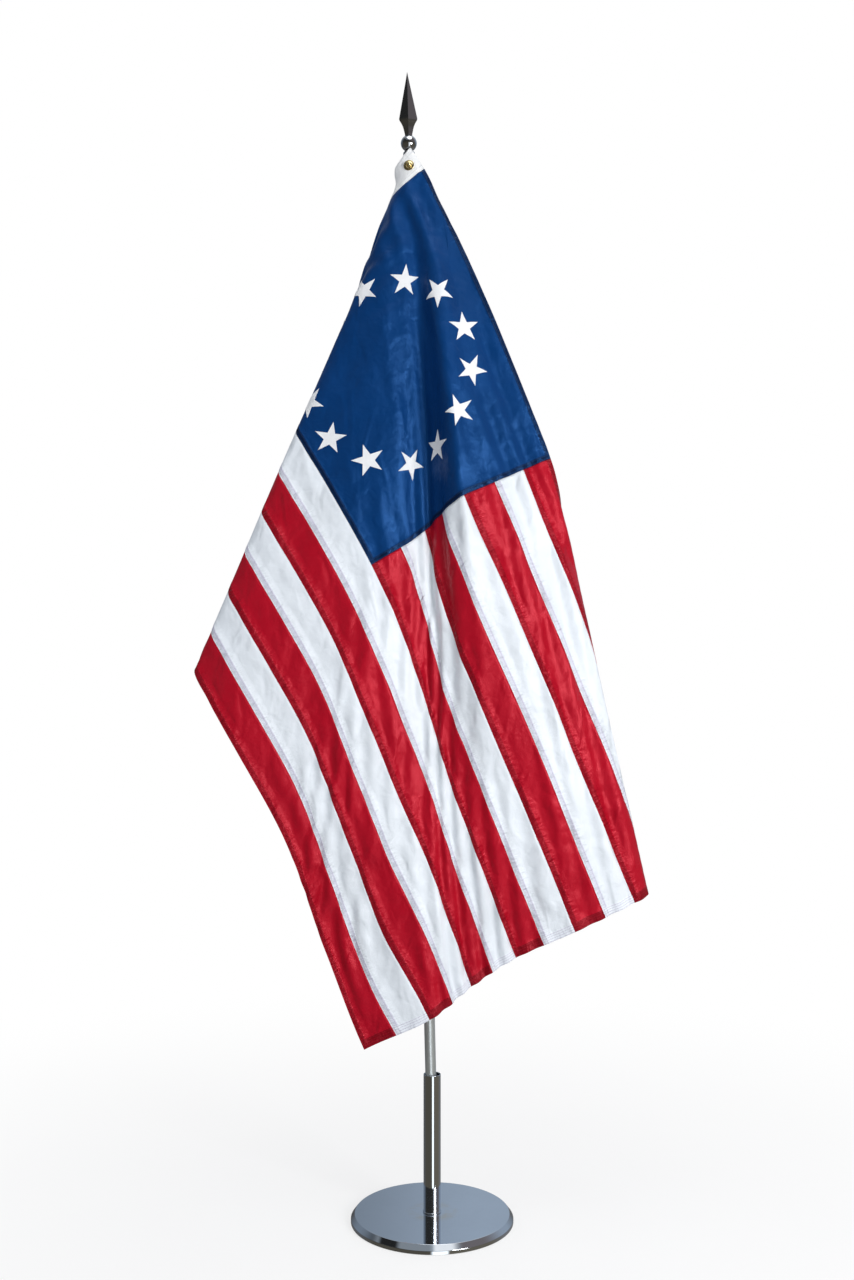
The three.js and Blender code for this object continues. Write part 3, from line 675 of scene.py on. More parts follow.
def moulded_rubber(name, colour):
    paint = Paint(name)
    grain = paint.noise(900.0, detail=4.0)
    base = paint.mottled(grain, colour, 0.7, 1.5)
    rough = paint.step(paint.noise(40.0), 0.3, 0.7, 0.6, 0.8)
    normal = paint.bump(grain, 0.0002, 0.6)
    return paint.finish(Base_Color=base, Roughness=rough, Normal=normal)


CHROME = (0.62, 0.66, 0.71)
RED = (0.42, 0.003, 0.016)
materials = {
    "chrome": polished("chrome", CHROME, 0.045),
    "dark_chrome": polished("dark_chrome", (0.42, 0.43, 0.45), 0.07),
    "pole_steel": drawn_steel("pole_steel", (0.66, 0.71, 0.72)),
    "iron": cast_iron("iron", (0.06, 0.06, 0.065)),
    "zinc_steel": plated("zinc_steel", (0.55, 0.57, 0.6)),
    "brass": polished_brass("brass", (0.84, 0.70, 0.36)),
    "rubber": moulded_rubber("rubber", (0.02, 0.02, 0.022)),
    "felt": felt("felt", (0.03, 0.032, 0.03)),
    "canvas": canvas("canvas", (0.95, 0.96, 0.97)),
    "star": star_cloth("star", (0.93, 0.94, 0.96)),
}
cover_chrome = polished("cover_chrome", CHROME, 0.045, finish_base=foot_tan_ring)
red_finish = {
    "colour": RED,
    "seam_colour": shade(RED, 0.62),
    "hem_colour": shade(RED, 0.5),
    "thread": shade(RED, 0.85),
    "shine": 0.9,
    "tint": (1.0, 0.16, 0.2),
}
white_finish = {
    "colour": (0.80, 0.845, 0.895),
    "seam_colour": (0.66, 0.67, 0.77),
    "hem_colour": (0.79, 0.83, 0.89),
    "thread": (0.52, 0.47, 0.6),
    "shine": 0.35,
    "tint": (0.95, 0.97, 1.0),
    "seam": (4.0, SEAM_BAND),
}
blue_finish = {
    "colour": (0.002, 0.036, 0.15),
    "band_colour": (0.002, 0.007, 0.03),
    "thread": (0.02, 0.05, 0.15),
    "shine": 0.7,
    "tint": (0.12, 0.38, 1.0),
}
materials["blue_nylon"] = canton_nylon("blue_nylon", **blue_finish)
materials["red_nylon"] = nylon("red_nylon", **red_finish)
materials["white_nylon"] = nylon("white_nylon", **white_finish)
edge_red = nylon("red_nylon_edge", **red_finish, top=STRIPE_WIDTH)


# ---- Meshes ----
def make_mesh(name, vertices, faces, material, uv=None):
    """A smooth-shaded piece. uv has a pair for each vertex."""
    mesh = bpy.data.meshes.new(name)
    mesh.from_pydata([tuple(v) for v in vertices], [], [tuple(f) for f in faces])
    mesh.materials.append(material)
    mesh.polygons.foreach_set("use_smooth", [True] * len(mesh.polygons))
    if uv is not None:
        layer = mesh.uv_layers.new(name="Flat")
        corners = np.empty(len(mesh.loops), int)
        mesh.loops.foreach_get("vertex_index", corners)
        layer.data.foreach_set("uv", np.asarray(uv, float)[corners].ravel())
    piece = bpy.data.objects.new(name, mesh)
    bpy.context.scene.collection.objects.link(piece)
    return piece


def face_outwards(piece):
    shape = bmesh.new()
    shape.from_mesh(piece.data)
    bmesh.ops.recalc_face_normals(shape, faces=shape.faces)
    shape.to_mesh(piece.data)
    shape.free()


def even_shading(piece):
    """Keeps flats flat beside rounded edges."""
    modifier = piece.modifiers.new("even_shading", "WEIGHTED_NORMAL")
    modifier.weight = 90


def cut_with(piece, tool):
    """Takes the tool's shape out of the piece, for good."""
    modifier = piece.modifiers.new("cut", "BOOLEAN")
    modifier.operation = "DIFFERENCE"
    modifier.object = tool
    bpy.context.view_layer.update()
    shaped = piece.evaluated_get(bpy.context.evaluated_depsgraph_get())
    mesh = bpy.data.meshes.new_from_object(shaped)
    piece.modifiers.clear()
    piece.data = mesh
    bpy.data.objects.remove(tool)


def stand_for(piece, node):
    """piece is shown in place of the CAD node, and moves as it does."""
    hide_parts(node)
    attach(piece, body_of[node])


def belongs(piece, body):
    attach(piece, body)


def finish_of(node):
    return materials[slot_of[node]]


ROUNDING_STEPS = 4
ROUNDING_SHARE = 0.45  # the most of a side that the arc at one of its ends takes


def rounded(outline, size, closed_outline):
    """The outline with a small arc in place of each corner off the axis."""
    points = [np.array(p, float) for p in outline]
    result = []
    for i, corner in enumerate(points):
        if not closed_outline and i in (0, len(points) - 1):
            result.append(corner)
            continue
        before = points[i - 1] - corner
        after = points[(i + 1) % len(points)] - corner
        shorter = min(np.linalg.norm(before), np.linalg.norm(after))
        reach = min(size, shorter * ROUNDING_SHARE)
        start = corner + unit(before) * reach
        end = corner + unit(after) * reach
        for step in range(ROUNDING_STEPS + 1):
            t = step / ROUNDING_STEPS
            result.append((1 - t) ** 2 * start + 2 * t * (1 - t) * corner + t * t * end)
    return result


def tube(inner, outer, low, high):
    """The outline of a plain tube, or of a solid round where inner is 0."""
    return [(inner, low), (outer, low), (outer, high), (inner, high)]


def band_faces(lower, upper, sides):
    """The faces between two rings of vertices, from the numbers of their first vertices."""
    after = [*range(1, sides), 0]
    return [[lower + i, upper + i, upper + j, lower + j] for i, j in enumerate(after)]


def turned(name, outline, material, rounding, sides=96, where=Matrix.Identity(4)):
    """A solid turned round +Z from (radius, height) points in millimetres, then moved to where.
    An outline that starts and ends on the axis is solid there; any other closes on itself."""
    closed_outline = outline[0][0] > 0
    points = rounded(outline, rounding, closed_outline)
    vertices, rings = [], []
    for radius, height in points:
        if radius < 1e-6:
            rings.append([len(vertices)] * sides)
            vertices.append(where @ Vector((0, 0, height * MM)))
            continue
        rings.append(list(range(len(vertices), len(vertices) + sides)))
        for side in range(sides):
            turn = 2 * math.pi * side / sides
            place = Vector((radius * math.cos(turn) * MM, radius * math.sin(turn) * MM, height * MM))
            vertices.append(where @ place)
    faces = []
    bands = len(rings) if closed_outline else len(rings) - 1
    for band in range(bands):
        lower, upper = rings[band], rings[(band + 1) % len(rings)]
        for side in range(sides):
            after = (side + 1) % sides
            corners = [lower[side], lower[after], upper[after], upper[side]]
            face = list(dict.fromkeys(corners))
            if len(face) > 2:
                faces.append(face)
    piece = make_mesh(name, vertices, faces, material)
    face_outwards(piece)
    even_shading(piece)
    return piece


def frame_at(point, direction):
    """The place and turn of a solid made round +Z, so that its +Z runs along direction at point (mm)."""
    turn = Vector((0, 0, 1)).rotation_difference(Vector(direction))
    return Matrix.Translation(Vector(point) * MM) @ turn.to_matrix().to_4x4()


pole_foot, pole_direction = pole_axis()
on_pole = frame_at(pole_foot, pole_direction)


def pole_span(node):
    """A pole node's lowest and highest places along the pole and its outer radius, in millimetres."""
    places = np.array([v.co for v in nodes[node].data.vertices]) / MM - pole_foot
    heights = places @ pole_direction
    radii = np.linalg.norm(places - heights[:, None] * pole_direction, axis=1)
    return heights.min(), heights.max(), radii.max()


def upright_span(node):
    """The same for a node round the base's axis."""
    low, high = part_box(node)
    return low[2] / MM, high[2] / MM, (high[0] - low[0]) / 2 / MM


# ---- Base ----
COVER_WALL = 2
RIM_TOP = 8
BEVEL_WIDTH = 8
BOLT_HOLE = 5.6
FACE_GAP = 0.1
RING_BAND = 1.6  # how high the foot ring is upright, before it slopes in
RING_LIP = (0.5, 0.4)  # its upper edge, in from its side and down from its top
TUBE_WALL = 1.5
TUBE_RADIUS = upright_span("socket_tube")[2]
CUSHION_DOME = 0.6  # how far the cushion's top rises
CUSHION_FLAT = 0.6  # the share of its radius that is flat on top


def base_cover():
    low, high, radius = upright_span("base_cover")
    under = high - COVER_WALL
    top_radius = radius - BEVEL_WIDTH
    outline = [
        (BOLT_HOLE, under),
        (top_radius - COVER_WALL, under),
        (radius - COVER_WALL, RIM_TOP - COVER_WALL),
        (radius - COVER_WALL, low),
        (radius, low),
        (radius, RIM_TOP),
        (top_radius, high),
        (BOLT_HOLE, high),
    ]
    return turned("chrome_cover", outline, cover_chrome, 0.7, sides=192)


def base_pad():
    low, high, radius = upright_span("base_pad")
    piece = turned("felt_pad", tube(0, radius, low, high), materials["felt"], 0.6, sides=128)
    stand_for(piece, "base_pad")


def foot_ring():
    low, high, radius = upright_span("foot_ring")
    inner = TUBE_RADIUS + FACE_GAP
    lip = (radius - RING_LIP[0], high - RING_LIP[1])
    outline = [(inner, low), (radius, low), (radius, low + RING_BAND), lip, (inner, high)]
    return turned("foot_trim_ring", outline, materials["chrome"], 0.5)


def socket_tube():
    low, high, radius = upright_span("socket_tube")
    return turned("socket", tube(radius - TUBE_WALL, radius, low, high), materials["chrome"], 0.6)


def socket_cushion():
    low, high, radius = upright_span("socket_cushion")
    dome = [(radius, high - CUSHION_DOME), (radius * CUSHION_FLAT, high)]
    outline = [(0, low), (radius, low), *dome, (0, high)]
    return turned("rubber_cushion", outline, materials["rubber"], 0.8)


stand_for(base_cover(), "base_cover")
stand_for(foot_ring(), "foot_ring")
stand_for(socket_tube(), "socket_tube")
stand_for(socket_cushion(), "socket_cushion")
base_pad()

# ---- Pole ----
POLE_WALL = 1.2
POLE_RADIUS = pole_span("lower_pole_tube")[2]
CAP_FLOOR = 4
JOINT_RING_BORE = 6.3
SET_SCREW_HOLE = 1.6


def pole_round(name, node, rounding, bore=None):
    """A plain tube or ring on the pole's axis. Without a bore, its wall is the pole's."""
    low, high, radius = pole_span(node)
    outline = tube(bore or radius - POLE_WALL, radius, low, high)
    return turned(name, outline, finish_of(node), rounding, where=on_pole)


def foot_cap():
    low, high, radius = pole_span("pole_foot_cap")
    inner = POLE_RADIUS + FACE_GAP
    inside = low + CAP_FLOOR
    outline = [(0, low), (radius, low), (radius, high), (inner, high), (inner, inside), (0, inside)]
    return turned("foot_cap", outline, materials["rubber"], 1.2, where=on_pole)


def side_hole(height, radius, reach):
    """A tool for a hole across the pole's axis, from that axis outwards."""
    across = on_pole @ frame_at((0, 0, height), (1, 0, 0))
    outline = tube(0, radius, 0, reach)
    return turned("side_hole", outline, materials["zinc_steel"], 0.05, sides=24, where=across)


def stop_collar(end):
    """The collar under one of the flag rings, with a hole for its set screw."""
    node = f"{end}_collar"
    low, high, radius = pole_span(node)
    piece = pole_round(f"{end}_stop_collar", node, 0.8, POLE_RADIUS + FACE_GAP)
    piece.modifiers.clear()
    cut_with(piece, side_hole((low + high) / 2, SET_SCREW_HOLE, radius + 1))
    even_shading(piece)
    stand_for(piece, node)


stand_for(foot_cap(), "pole_foot_cap")
stand_for(pole_round("lower_section", "lower_pole_tube", 0.25), "lower_pole_tube")
stand_for(pole_round("section_trim_ring", "joint_ring", 0.9, JOINT_RING_BORE), "joint_ring")
stand_for(pole_round("upper_section", "upper_pole_tube", 0.25), "upper_pole_tube")
stop_collar("upper")
stop_collar("lower")

# ---- Finial ----
WASHER_BORE = 4.3
STUD_BORE = 4.25
FERRULE_BAND = 4.6  # how high the ferrule is upright, before it tapers
FERRULE_TAPER = [(2.2, 2), (3, 0)]  # in from its side, and down from its top
BALL_STEPS = 40


def ferrule():
    low, high, radius = pole_span("finial_ferrule")
    taper = [(radius - inwards, high - under) for inwards, under in FERRULE_TAPER]
    outline = [(STUD_BORE, low), (radius, low), (radius, low + FERRULE_BAND), *taper, (STUD_BORE, high)]
    return turned("ferrule", outline, materials["dark_chrome"], 1.0, where=on_pole)


def ball_outline(centre, radius, start, end, steps):
    """Points up a ball's side, between two angles measured from its lowest point."""
    angles = [start + (end - start) * step / steps for step in range(steps + 1)]
    return [(max(radius * math.sin(a), 0), centre - radius * math.cos(a)) for a in angles]


def finial_ball():
    low, high, radius = pole_span("finial_ball")
    centre = (low + high) / 2
    land = math.acos((high - centre) / radius)
    side = ball_outline(centre, radius, land, math.pi - land, BALL_STEPS)
    outline = [(STUD_BORE, low), *side, (STUD_BORE, high)]
    return turned("ball", outline, materials["dark_chrome"], 0.2, where=on_pole)


# The spear's diamond section: height above its foot, width and thickness, up to the blade's widest.
SPEAR_SECTIONS = np.array([
    (0, 15.4, 15.4),
    (2, 15.4, 14.5),
    (10, 18.6, 14.5),
    (18, 22.5, 15),
    (25, 28.5, 15.8),
    (32, 36.4, 16.6),
    (34.5, 37.6, 16.8),
    (37, 36.8, 16.6),
])
SPEAR_BORE_DEPTH = 13
SPEAR_TIP = 1.2  # the height of the last, pointed part
RIDGE_ROUND = 0.5
RIDGE_SHARE = 0.08  # near the tip, where the round is this share of the blade's width
SHOULDER_ROWS = 26
BLADE_ROWS = 40


def spear():
    """A blade of diamond section with its four ridges and its shoulders rounded off."""
    low, high, _ = pole_span("finial_spear")
    places = SPEAR_SECTIONS[:, 0]
    widest = places[-1]
    blade = np.linspace(widest, high - low - SPEAR_TIP, BLADE_ROWS)
    heights = np.concatenate([np.linspace(0, widest, SHOULDER_ROWS), blade[1:]])
    narrowing = np.clip((high - low - heights) / (high - low - widest), 0, 1)
    widths = curve_at(places, SPEAR_SECTIONS[:, 1:2], heights) * narrowing
    thicknesses = curve_at(places, SPEAR_SECTIONS[:, 2:3], heights) * narrowing
    vertices = []
    for height, width, thickness in zip(heights, widths, thicknesses):
        corners = [(width / 2, 0), (0, thickness / 2), (-width / 2, 0), (0, -thickness / 2)]
        row = rounded(corners, min(RIDGE_ROUND, width * RIDGE_SHARE), True)
        vertices += [on_pole @ Vector((x * MM, y * MM, (low + height) * MM)) for x, y in row]
    sides = len(row)
    top = len(vertices) - sides
    vertices.append(on_pole @ Vector((0, 0, high * MM)))
    faces = [list(range(sides))]
    for first in range(0, top, sides):
        faces += band_faces(first, first + sides, sides)
    faces += [[top + side, top + (side + 1) % sides, top + sides] for side in range(sides)]
    piece = make_mesh("spear", vertices, faces, materials["dark_chrome"])
    face_outwards(piece)
    bore = tube(0, STUD_BORE, -1, SPEAR_BORE_DEPTH)
    at_foot = on_pole @ Matrix.Translation((0, 0, low * MM))
    cut_with(piece, turned("spear_bore", bore, materials["dark_chrome"], 0.05, sides=32, where=at_foot))
    even_shading(piece)
    return piece


stand_for(pole_round("finial_lock_ring", "finial_washer", 0.5, WASHER_BORE), "finial_washer")
stand_for(ferrule(), "finial_ferrule")
stand_for(finial_ball(), "finial_ball")
stand_for(spear(), "finial_spear")

# ---- Grommets, and the rings and hooks that they hang on ----
HEADER_HALF = 1.2
GROMMET_BORE = 4.8
GROMMET_BARREL = 6
GROMMET_FLANGE = 11
FLANGE_THICKNESS = 0.8
FLANGE_DOME = 0.1  # how far its face is above that by the barrel, and below it at the edge
FLANGE_EDGE = 0.4
LIP_RISE = 0.8  # how far the barrel's rolled lip stands above the flange
LIP_FOOT = 2.4  # how far out from the barrel the lip starts, and where its top begins
LIP_TOP = 0.6
LIP_INNER = 0.5  # how far its top stops short of the bore
LIP_INSIDE = 0.2  # how far below the flange's face it ends in the bore
GROMMET_REACH = HEADER_HALF + 0.3
GROMMET_FACE = GROMMET_REACH + FLANGE_THICKNESS
RING_RADIUS = 13.3
RING_HEIGHT = 8
GROOVE_DEPTH = 0.5
GROOVE_HALF = 0.8  # half of the ring's groove where it is widest
GROOVE_FLOOR = 0.3  # half of its floor
HOOK_SHANK = 2.2
HOOK_COLLAR = 0.9  # how much wider the shank is where it leaves the ring
HOOK_COLLAR_TOP = 0.7  # how far out from the ring it is that wide
HOOK_COLLAR_END = 1.6  # and where it has narrowed to the shank
HOOK_ROOT = 0.4  # how deep it sits in the ring
HOOK_BALL = 4.2
HOOK_REACH = 11.4  # from the ring to the middle of the hook's ball
HOOK_STEPS = 28
TURN_GAP = 0.25


def grommet_frame(down):
    point = drape_point(GROMMET_ALONG, down)[0]
    return frame_at(point, drape_normal(GROMMET_ALONG, down)[0])


def grommet(name, down):
    """Flange and barrel from the front, with a rolled inner lip."""
    outline = [
        (GROMMET_BORE, -GROMMET_FACE - FACE_GAP),
        (GROMMET_BARREL, -GROMMET_FACE - FACE_GAP),
        (GROMMET_BARREL, GROMMET_REACH),
        (GROMMET_FLANGE, GROMMET_REACH),
        (GROMMET_FLANGE - FLANGE_EDGE, GROMMET_FACE - FLANGE_DOME),
        (GROMMET_BARREL + LIP_FOOT, GROMMET_FACE + FLANGE_DOME),
        (GROMMET_BARREL + LIP_TOP, GROMMET_FACE + LIP_RISE),
        (GROMMET_BORE + LIP_INNER, GROMMET_FACE + LIP_RISE),
        (GROMMET_BORE, GROMMET_FACE - LIP_INSIDE),
    ]
    return turned(name, outline, materials["brass"], 0.5, sides=64, where=grommet_frame(down))


def grommet_washer(name, down):
    outline = tube(GROMMET_BARREL + FACE_GAP, GROMMET_FLANGE, -GROMMET_FACE, -GROMMET_REACH)
    return turned(name, outline, materials["brass"], 0.35, sides=64, where=grommet_frame(down))


def flag_ring(name, middle):
    """A ring that turns on the pole, with a shallow groove round its middle."""
    inner = POLE_RADIUS + TURN_GAP
    side = [
        (RING_RADIUS, -RING_HEIGHT / 2),
        (RING_RADIUS, -GROOVE_HALF),
        (RING_RADIUS - GROOVE_DEPTH, -GROOVE_FLOOR),
    ]
    lower = [(radius, middle + height) for radius, height in side]
    upper = [(radius, middle - height) for radius, height in reversed(side)]
    outline = [(inner, lower[0][1]), *lower, *upper, (inner, upper[-1][1])]
    return turned(name, outline, materials["brass"], 0.5, where=on_pole)


def flag_hook(name, middle, side):
    """A round-headed hook in the ring, which the grommet hangs on."""
    centre = RING_RADIUS + HOOK_REACH
    collar = HOOK_SHANK + HOOK_COLLAR
    neck = math.asin(HOOK_SHANK / HOOK_BALL)
    outline = [(0, RING_RADIUS - HOOK_ROOT), (collar, RING_RADIUS - HOOK_ROOT)]
    outline.append((collar, RING_RADIUS + HOOK_COLLAR_TOP))
    outline.append((HOOK_SHANK, RING_RADIUS + HOOK_COLLAR_END))
    outline += ball_outline(centre, HOOK_BALL, neck, math.pi, HOOK_STEPS)[:-1]
    outline.append((0, centre + HOOK_BALL))
    outwards = on_pole @ frame_at((0, 0, middle), (0, -side, 0))
    return turned(name, outline, materials["brass"], 0.2, sides=48, where=outwards)


def hanger(end, down, side):
    """One end of the header's fixings. side is 1 where the hook points to the front."""
    point = drape_point(GROMMET_ALONG, down)[0]
    middle = (point - pole_foot) @ pole_direction
    stand_for(grommet(f"{end}_brass_grommet", down), f"{end}_grommet")
    stand_for(grommet_washer(f"{end}_back_washer", down), f"{end}_grommet_washer")
    stand_for(flag_ring(f"{end}_turning_ring", middle), f"{end}_flag_ring")
    belongs(flag_hook(f"{end}_hook", middle, side), "flag")


hanger("upper", GROMMET_INSET, 1)
hanger("lower", FLAG_HOIST - GROMMET_INSET, -1)

# ---- Flag ----
CLOTH_HALF = 0.25
BAND_RISE = 0.4
BAND_SLOPE = 0.7  # the width that a band takes to step down to the cloth
STITCH_DIP = 0.22
DIP_HALF = 0.9
CANVAS_HALF = 0.8  # half of the header's thickness between its hems
CANVAS_RISE = 0.6  # how high its hems stand, as a share of the nylon's
LINE_GAP = 0.55  # shared grid lines nearer than this to an extra one are left out
HOLE_REACH = 8  # how far the tool for a grommet's hole goes past the header's middle


def smooth_step(value, low, high):
    t = np.clip((value - low) / (high - low), 0, 1)
    return t * t * (3 - 2 * t)


def band_lines(width, rows):
    """Distances from an edge of the grid lines that a sewn band needs."""
    lines = [0.0, width - BAND_SLOPE, width]
    for row in rows:
        lines += [row - DIP_HALF, row, row + DIP_HALF]
    return lines


def band_rise(distance, width, rows):
    """How far a sewn band stands above the cloth, dipping along its rows of stitches."""
    rise = BAND_RISE * smooth_step(distance, width, width - BAND_SLOPE)
    for row in rows:
        rise = rise - STITCH_DIP * (1 - smooth_step(np.abs(distance - row), 0, DIP_HALF))
    return np.where(distance <= width, rise, 0)


def lines_between(start, end, shared, extra):
    """The shared grid's lines from start to end, with the extra ones, none of them nearly the same."""
    inside = [line for line in shared if start + 1e-6 < line < end - 1e-6]
    extra = sorted(set(np.round(extra, 4)))
    inside = [line for line in inside if min(abs(line - e) for e in extra) > LINE_GAP]
    return np.array(sorted({start, end, *inside, *extra}))


def cloth_solid(name, along_lines, down_lines, half_thickness, rise, material, uv):
    """A closed thin solid along the relaxed cloth, whose sewn bands add rise(along, down) to each face."""
    down, along = np.meshgrid(down_lines, along_lines, indexing="ij")
    middle = cloth_at(along, down)
    offset = cloth_normal(along, down) * (half_thickness + rise(along, down))[..., None]
    layers = np.concatenate([(middle + offset).reshape(-1, 3), (middle - offset).reshape(-1, 3)]) * MM
    rows, columns = down.shape
    number = np.arange(rows * columns).reshape(rows, columns)
    far = number + rows * columns
    a, b, c, d = number[:-1, :-1], number[1:, :-1], number[1:, 1:], number[:-1, 1:]
    front = np.stack([a, b, c, d], axis=-1).reshape(-1, 4)
    back = np.stack([d, c, b, a], axis=-1).reshape(-1, 4) + rows * columns
    rim = np.concatenate([number[0], number[1:, -1], number[-1, -2::-1], number[-2:0:-1, 0]])
    edge = [(rim[i - 1], rim[i], rim[i] + far[0, 0], rim[i - 1] + far[0, 0]) for i in range(len(rim))]
    flat = uv(along, down).reshape(-1, 2)
    faces = np.concatenate([front, back, np.array(edge)])
    piece = make_mesh(name, layers, faces.tolist(), material, np.concatenate([flat, flat]))
    face_outwards(piece)
    return piece


def stripe(number):
    """One stripe, with a felled seam at its lower edge and a hem at its fly edge."""
    node = f"stripe_{number + 1:02d}"
    start = CANTON_FLY if number < CANTON_STRIPES else 0
    top, bottom = number * STRIPE_WIDTH, (number + 1) * STRIPE_WIDTH

    def rise(along, down):
        raised = band_rise(bottom - down, SEAM_BAND, SEAM_ROWS)
        raised = np.maximum(raised, band_rise(FLAG_FLY - along, FLY_HEM, HEM_ROWS))
        if number == 0:
            raised = np.maximum(raised, band_rise(down - top, EDGE_HEM, EDGE_ROWS))
        return raised

    def uv(along, down):
        return np.stack([FLAG_FLY - along, bottom - down], axis=-1)

    down_extra = [bottom - line for line in band_lines(SEAM_BAND, SEAM_ROWS)]
    if number == 0:
        down_extra += [top + line for line in band_lines(EDGE_HEM, EDGE_ROWS)]
    along_extra = [FLAG_FLY - line for line in band_lines(FLY_HEM, HEM_ROWS)]
    along_lines = lines_between(start, FLAG_FLY, ALONG_LINES, along_extra)
    down_lines = lines_between(top, bottom, DOWN_LINES, down_extra)
    material = edge_red if number == 0 else finish_of(node)
    piece = cloth_solid(f"sewn_{node}", along_lines, down_lines, CLOTH_HALF, rise, material, uv)
    stand_for(piece, node)


def canton(stars):
    def nearest_edge(along, down):
        return np.minimum(CANTON_FLY - along, np.minimum(down, CANTON_HOIST - down))

    def rise(along, down):
        return band_rise(nearest_edge(along, down), CANTON_BAND, CANTON_ROWS)

    def uv(along, down):
        return np.stack([CANTON_FLY - along, CANTON_HOIST - down], axis=-1)

    lines = band_lines(CANTON_BAND, CANTON_ROWS)
    along_lines = lines_between(0, CANTON_FLY, ALONG_LINES, [CANTON_FLY - line for line in lines])
    down_extra = lines + [CANTON_HOIST - line for line in lines]
    down_lines = lines_between(0, CANTON_HOIST, DOWN_LINES, down_extra)
    blue = materials["blue_nylon"]
    piece = cloth_solid("sewn_canton", along_lines, down_lines, CLOTH_HALF, rise, blue, uv)
    stand_for(piece, "canton")


def header():
    def rise(along, down):
        ends = np.minimum(down, FLAG_HOIST - down)
        sides = np.minimum(-along, along + HEADER_WIDTH)
        return band_rise(np.minimum(ends, sides), EDGE_HEM, EDGE_ROWS) * CANVAS_RISE

    def uv(along, down):
        return np.stack([-along, FLAG_HOIST - down], axis=-1)

    lines = band_lines(EDGE_HEM, EDGE_ROWS)
    along_extra = [-line for line in lines] + [line - HEADER_WIDTH for line in lines]
    down_extra = lines + [FLAG_HOIST - line for line in lines]
    along_lines = lines_between(-HEADER_WIDTH, 0, ALONG_LINES, along_extra)
    down_lines = lines_between(0, FLAG_HOIST, DOWN_LINES, down_extra)
    white = materials["canvas"]
    piece = cloth_solid("canvas_header", along_lines, down_lines, CANVAS_HALF, rise, white, uv)
    hole = tube(0, GROMMET_BARREL + FACE_GAP, -HOLE_REACH, HOLE_REACH)
    for down in (GROMMET_INSET, FLAG_HOIST - GROMMET_INSET):
        cut_with(piece, turned("grommet_hole", hole, white, 0.05, sides=48, where=grommet_frame(down)))
    stand_for(piece, "header")


# ---- Stars ----
STAR_RING_CENTRE = (328, 258)
STAR_RING_RADIUS = 187
STARS = 13
STAR_POINTS = 5
STAR_RADIUS = 33.6
STAR_WAIST = math.cos(math.radians(72)) / math.cos(math.radians(36))
STAR_BORDER = 0.78
STAR_RINGS = (0.2, 0.4, 0.6, STAR_BORDER, 0.9, 0.96, 1.0)
STAR_EDGE_STEPS = 5
STAR_RISE = 0.55
STAR_BORDER_RISE = 0.3
STAR_FOOT = 0.9  # how far out its foot is, as a share of the cloth's own half thickness


def star_outline():
    """Places round a star's edge as (sideways, outwards), with one point outwards."""
    corners = []
    for i in range(2 * STAR_POINTS):
        size = STAR_RADIUS if i % 2 == 0 else STAR_RADIUS * STAR_WAIST
        angle = math.pi * i / STAR_POINTS
        corners.append(np.array([size * math.sin(angle), size * math.cos(angle)]))
    outline = []
    for i, corner in enumerate(corners):
        after = corners[(i + 1) % len(corners)]
        for step in range(STAR_EDGE_STEPS):
            outline.append(corner + (after - corner) * step / STAR_EDGE_STEPS)
    return np.array(outline)


def star(number):
    """A star sewn on both faces of the canton, with a raised satin-stitched border."""
    turn = 2 * math.pi * number / STARS
    outwards = np.array([math.sin(turn), -math.cos(turn)])
    sideways = np.array([math.cos(turn), math.sin(turn)])
    centre = np.array(STAR_RING_CENTRE) + outwards * STAR_RING_RADIUS
    outline = star_outline()
    sides = len(outline)
    flat = [np.zeros(2)]
    heights = [STAR_RISE]
    for share in STAR_RINGS:
        flat += list(outline * share)
        into_border = min(max((share - STAR_BORDER) / (1 - STAR_BORDER), 0), 1)
        height = STAR_RISE + STAR_BORDER_RISE * math.sin(0.75 * math.pi * into_border)
        heights += [height - (STAR_RISE / 2 if share == 1 else 0)] * sides
    flat, heights = np.array(flat), np.array(heights)
    along = centre[0] + flat[:, 0] * sideways[0] + flat[:, 1] * outwards[0]
    down = centre[1] + flat[:, 0] * sideways[1] + flat[:, 1] * outwards[1]
    middle, normal = cloth_at(along, down), cloth_normal(along, down)
    vertices, faces = [], []
    for face_side in (1, -1):
        top = middle + normal * (face_side * (CLOTH_HALF + heights))[:, None]
        under = middle + normal * (face_side * CLOTH_HALF * STAR_FOOT)
        starts = (len(vertices), len(vertices) + len(flat))
        vertices += list(top * MM)
        vertices += list(under * MM)
        for start in starts:
            rings = [start + 1 + ring * sides for ring in range(len(STAR_RINGS))]
            faces += [[start, rings[0] + i, rings[0] + (i + 1) % sides] for i in range(sides)]
            for lower, upper in zip(rings, rings[1:]):
                faces += band_faces(lower, upper, sides)
        rim = 1 + (len(STAR_RINGS) - 1) * sides
        faces += band_faces(starts[0] + rim, starts[1] + rim, sides)
    uv = np.concatenate([flat] * 4)
    piece = make_mesh(f"star_{number + 1:02d}", vertices, faces, materials["star"], uv)
    face_outwards(piece)
    belongs(piece, "flag")
    return piece


canton([star(number) for number in range(STARS)])
header()
for stripe_number in range(STRIPES):
    stripe(stripe_number)

# ---- Finishes of the CAD nodes that still show ----
for node_name, node_object in nodes.items():
    node_object.data.materials.clear()
    node_object.data.materials.append(materials[slot_of[node_name]])

# ---- Studio ----
WHITE_LIGHT = 1.0
FLOOR_SIZE = 24
FLOOR_FADE = (0.2, 2.0)  # the distances between which the floor turns wholly white
FLOOR_WHITENESS = 0.7  # how white it is up to there
EVEN_LIGHT = 0.42
LENS = 39.9
CAMERA_PLACE = (-0.0104, -2.884, 1.18)
PALE_WALL = (0.17, 0.15, 0.155)
LIT_FLOOR = (1.5, 1.56, 1.6)
CEILING = (0.9, 0.92, 0.95)


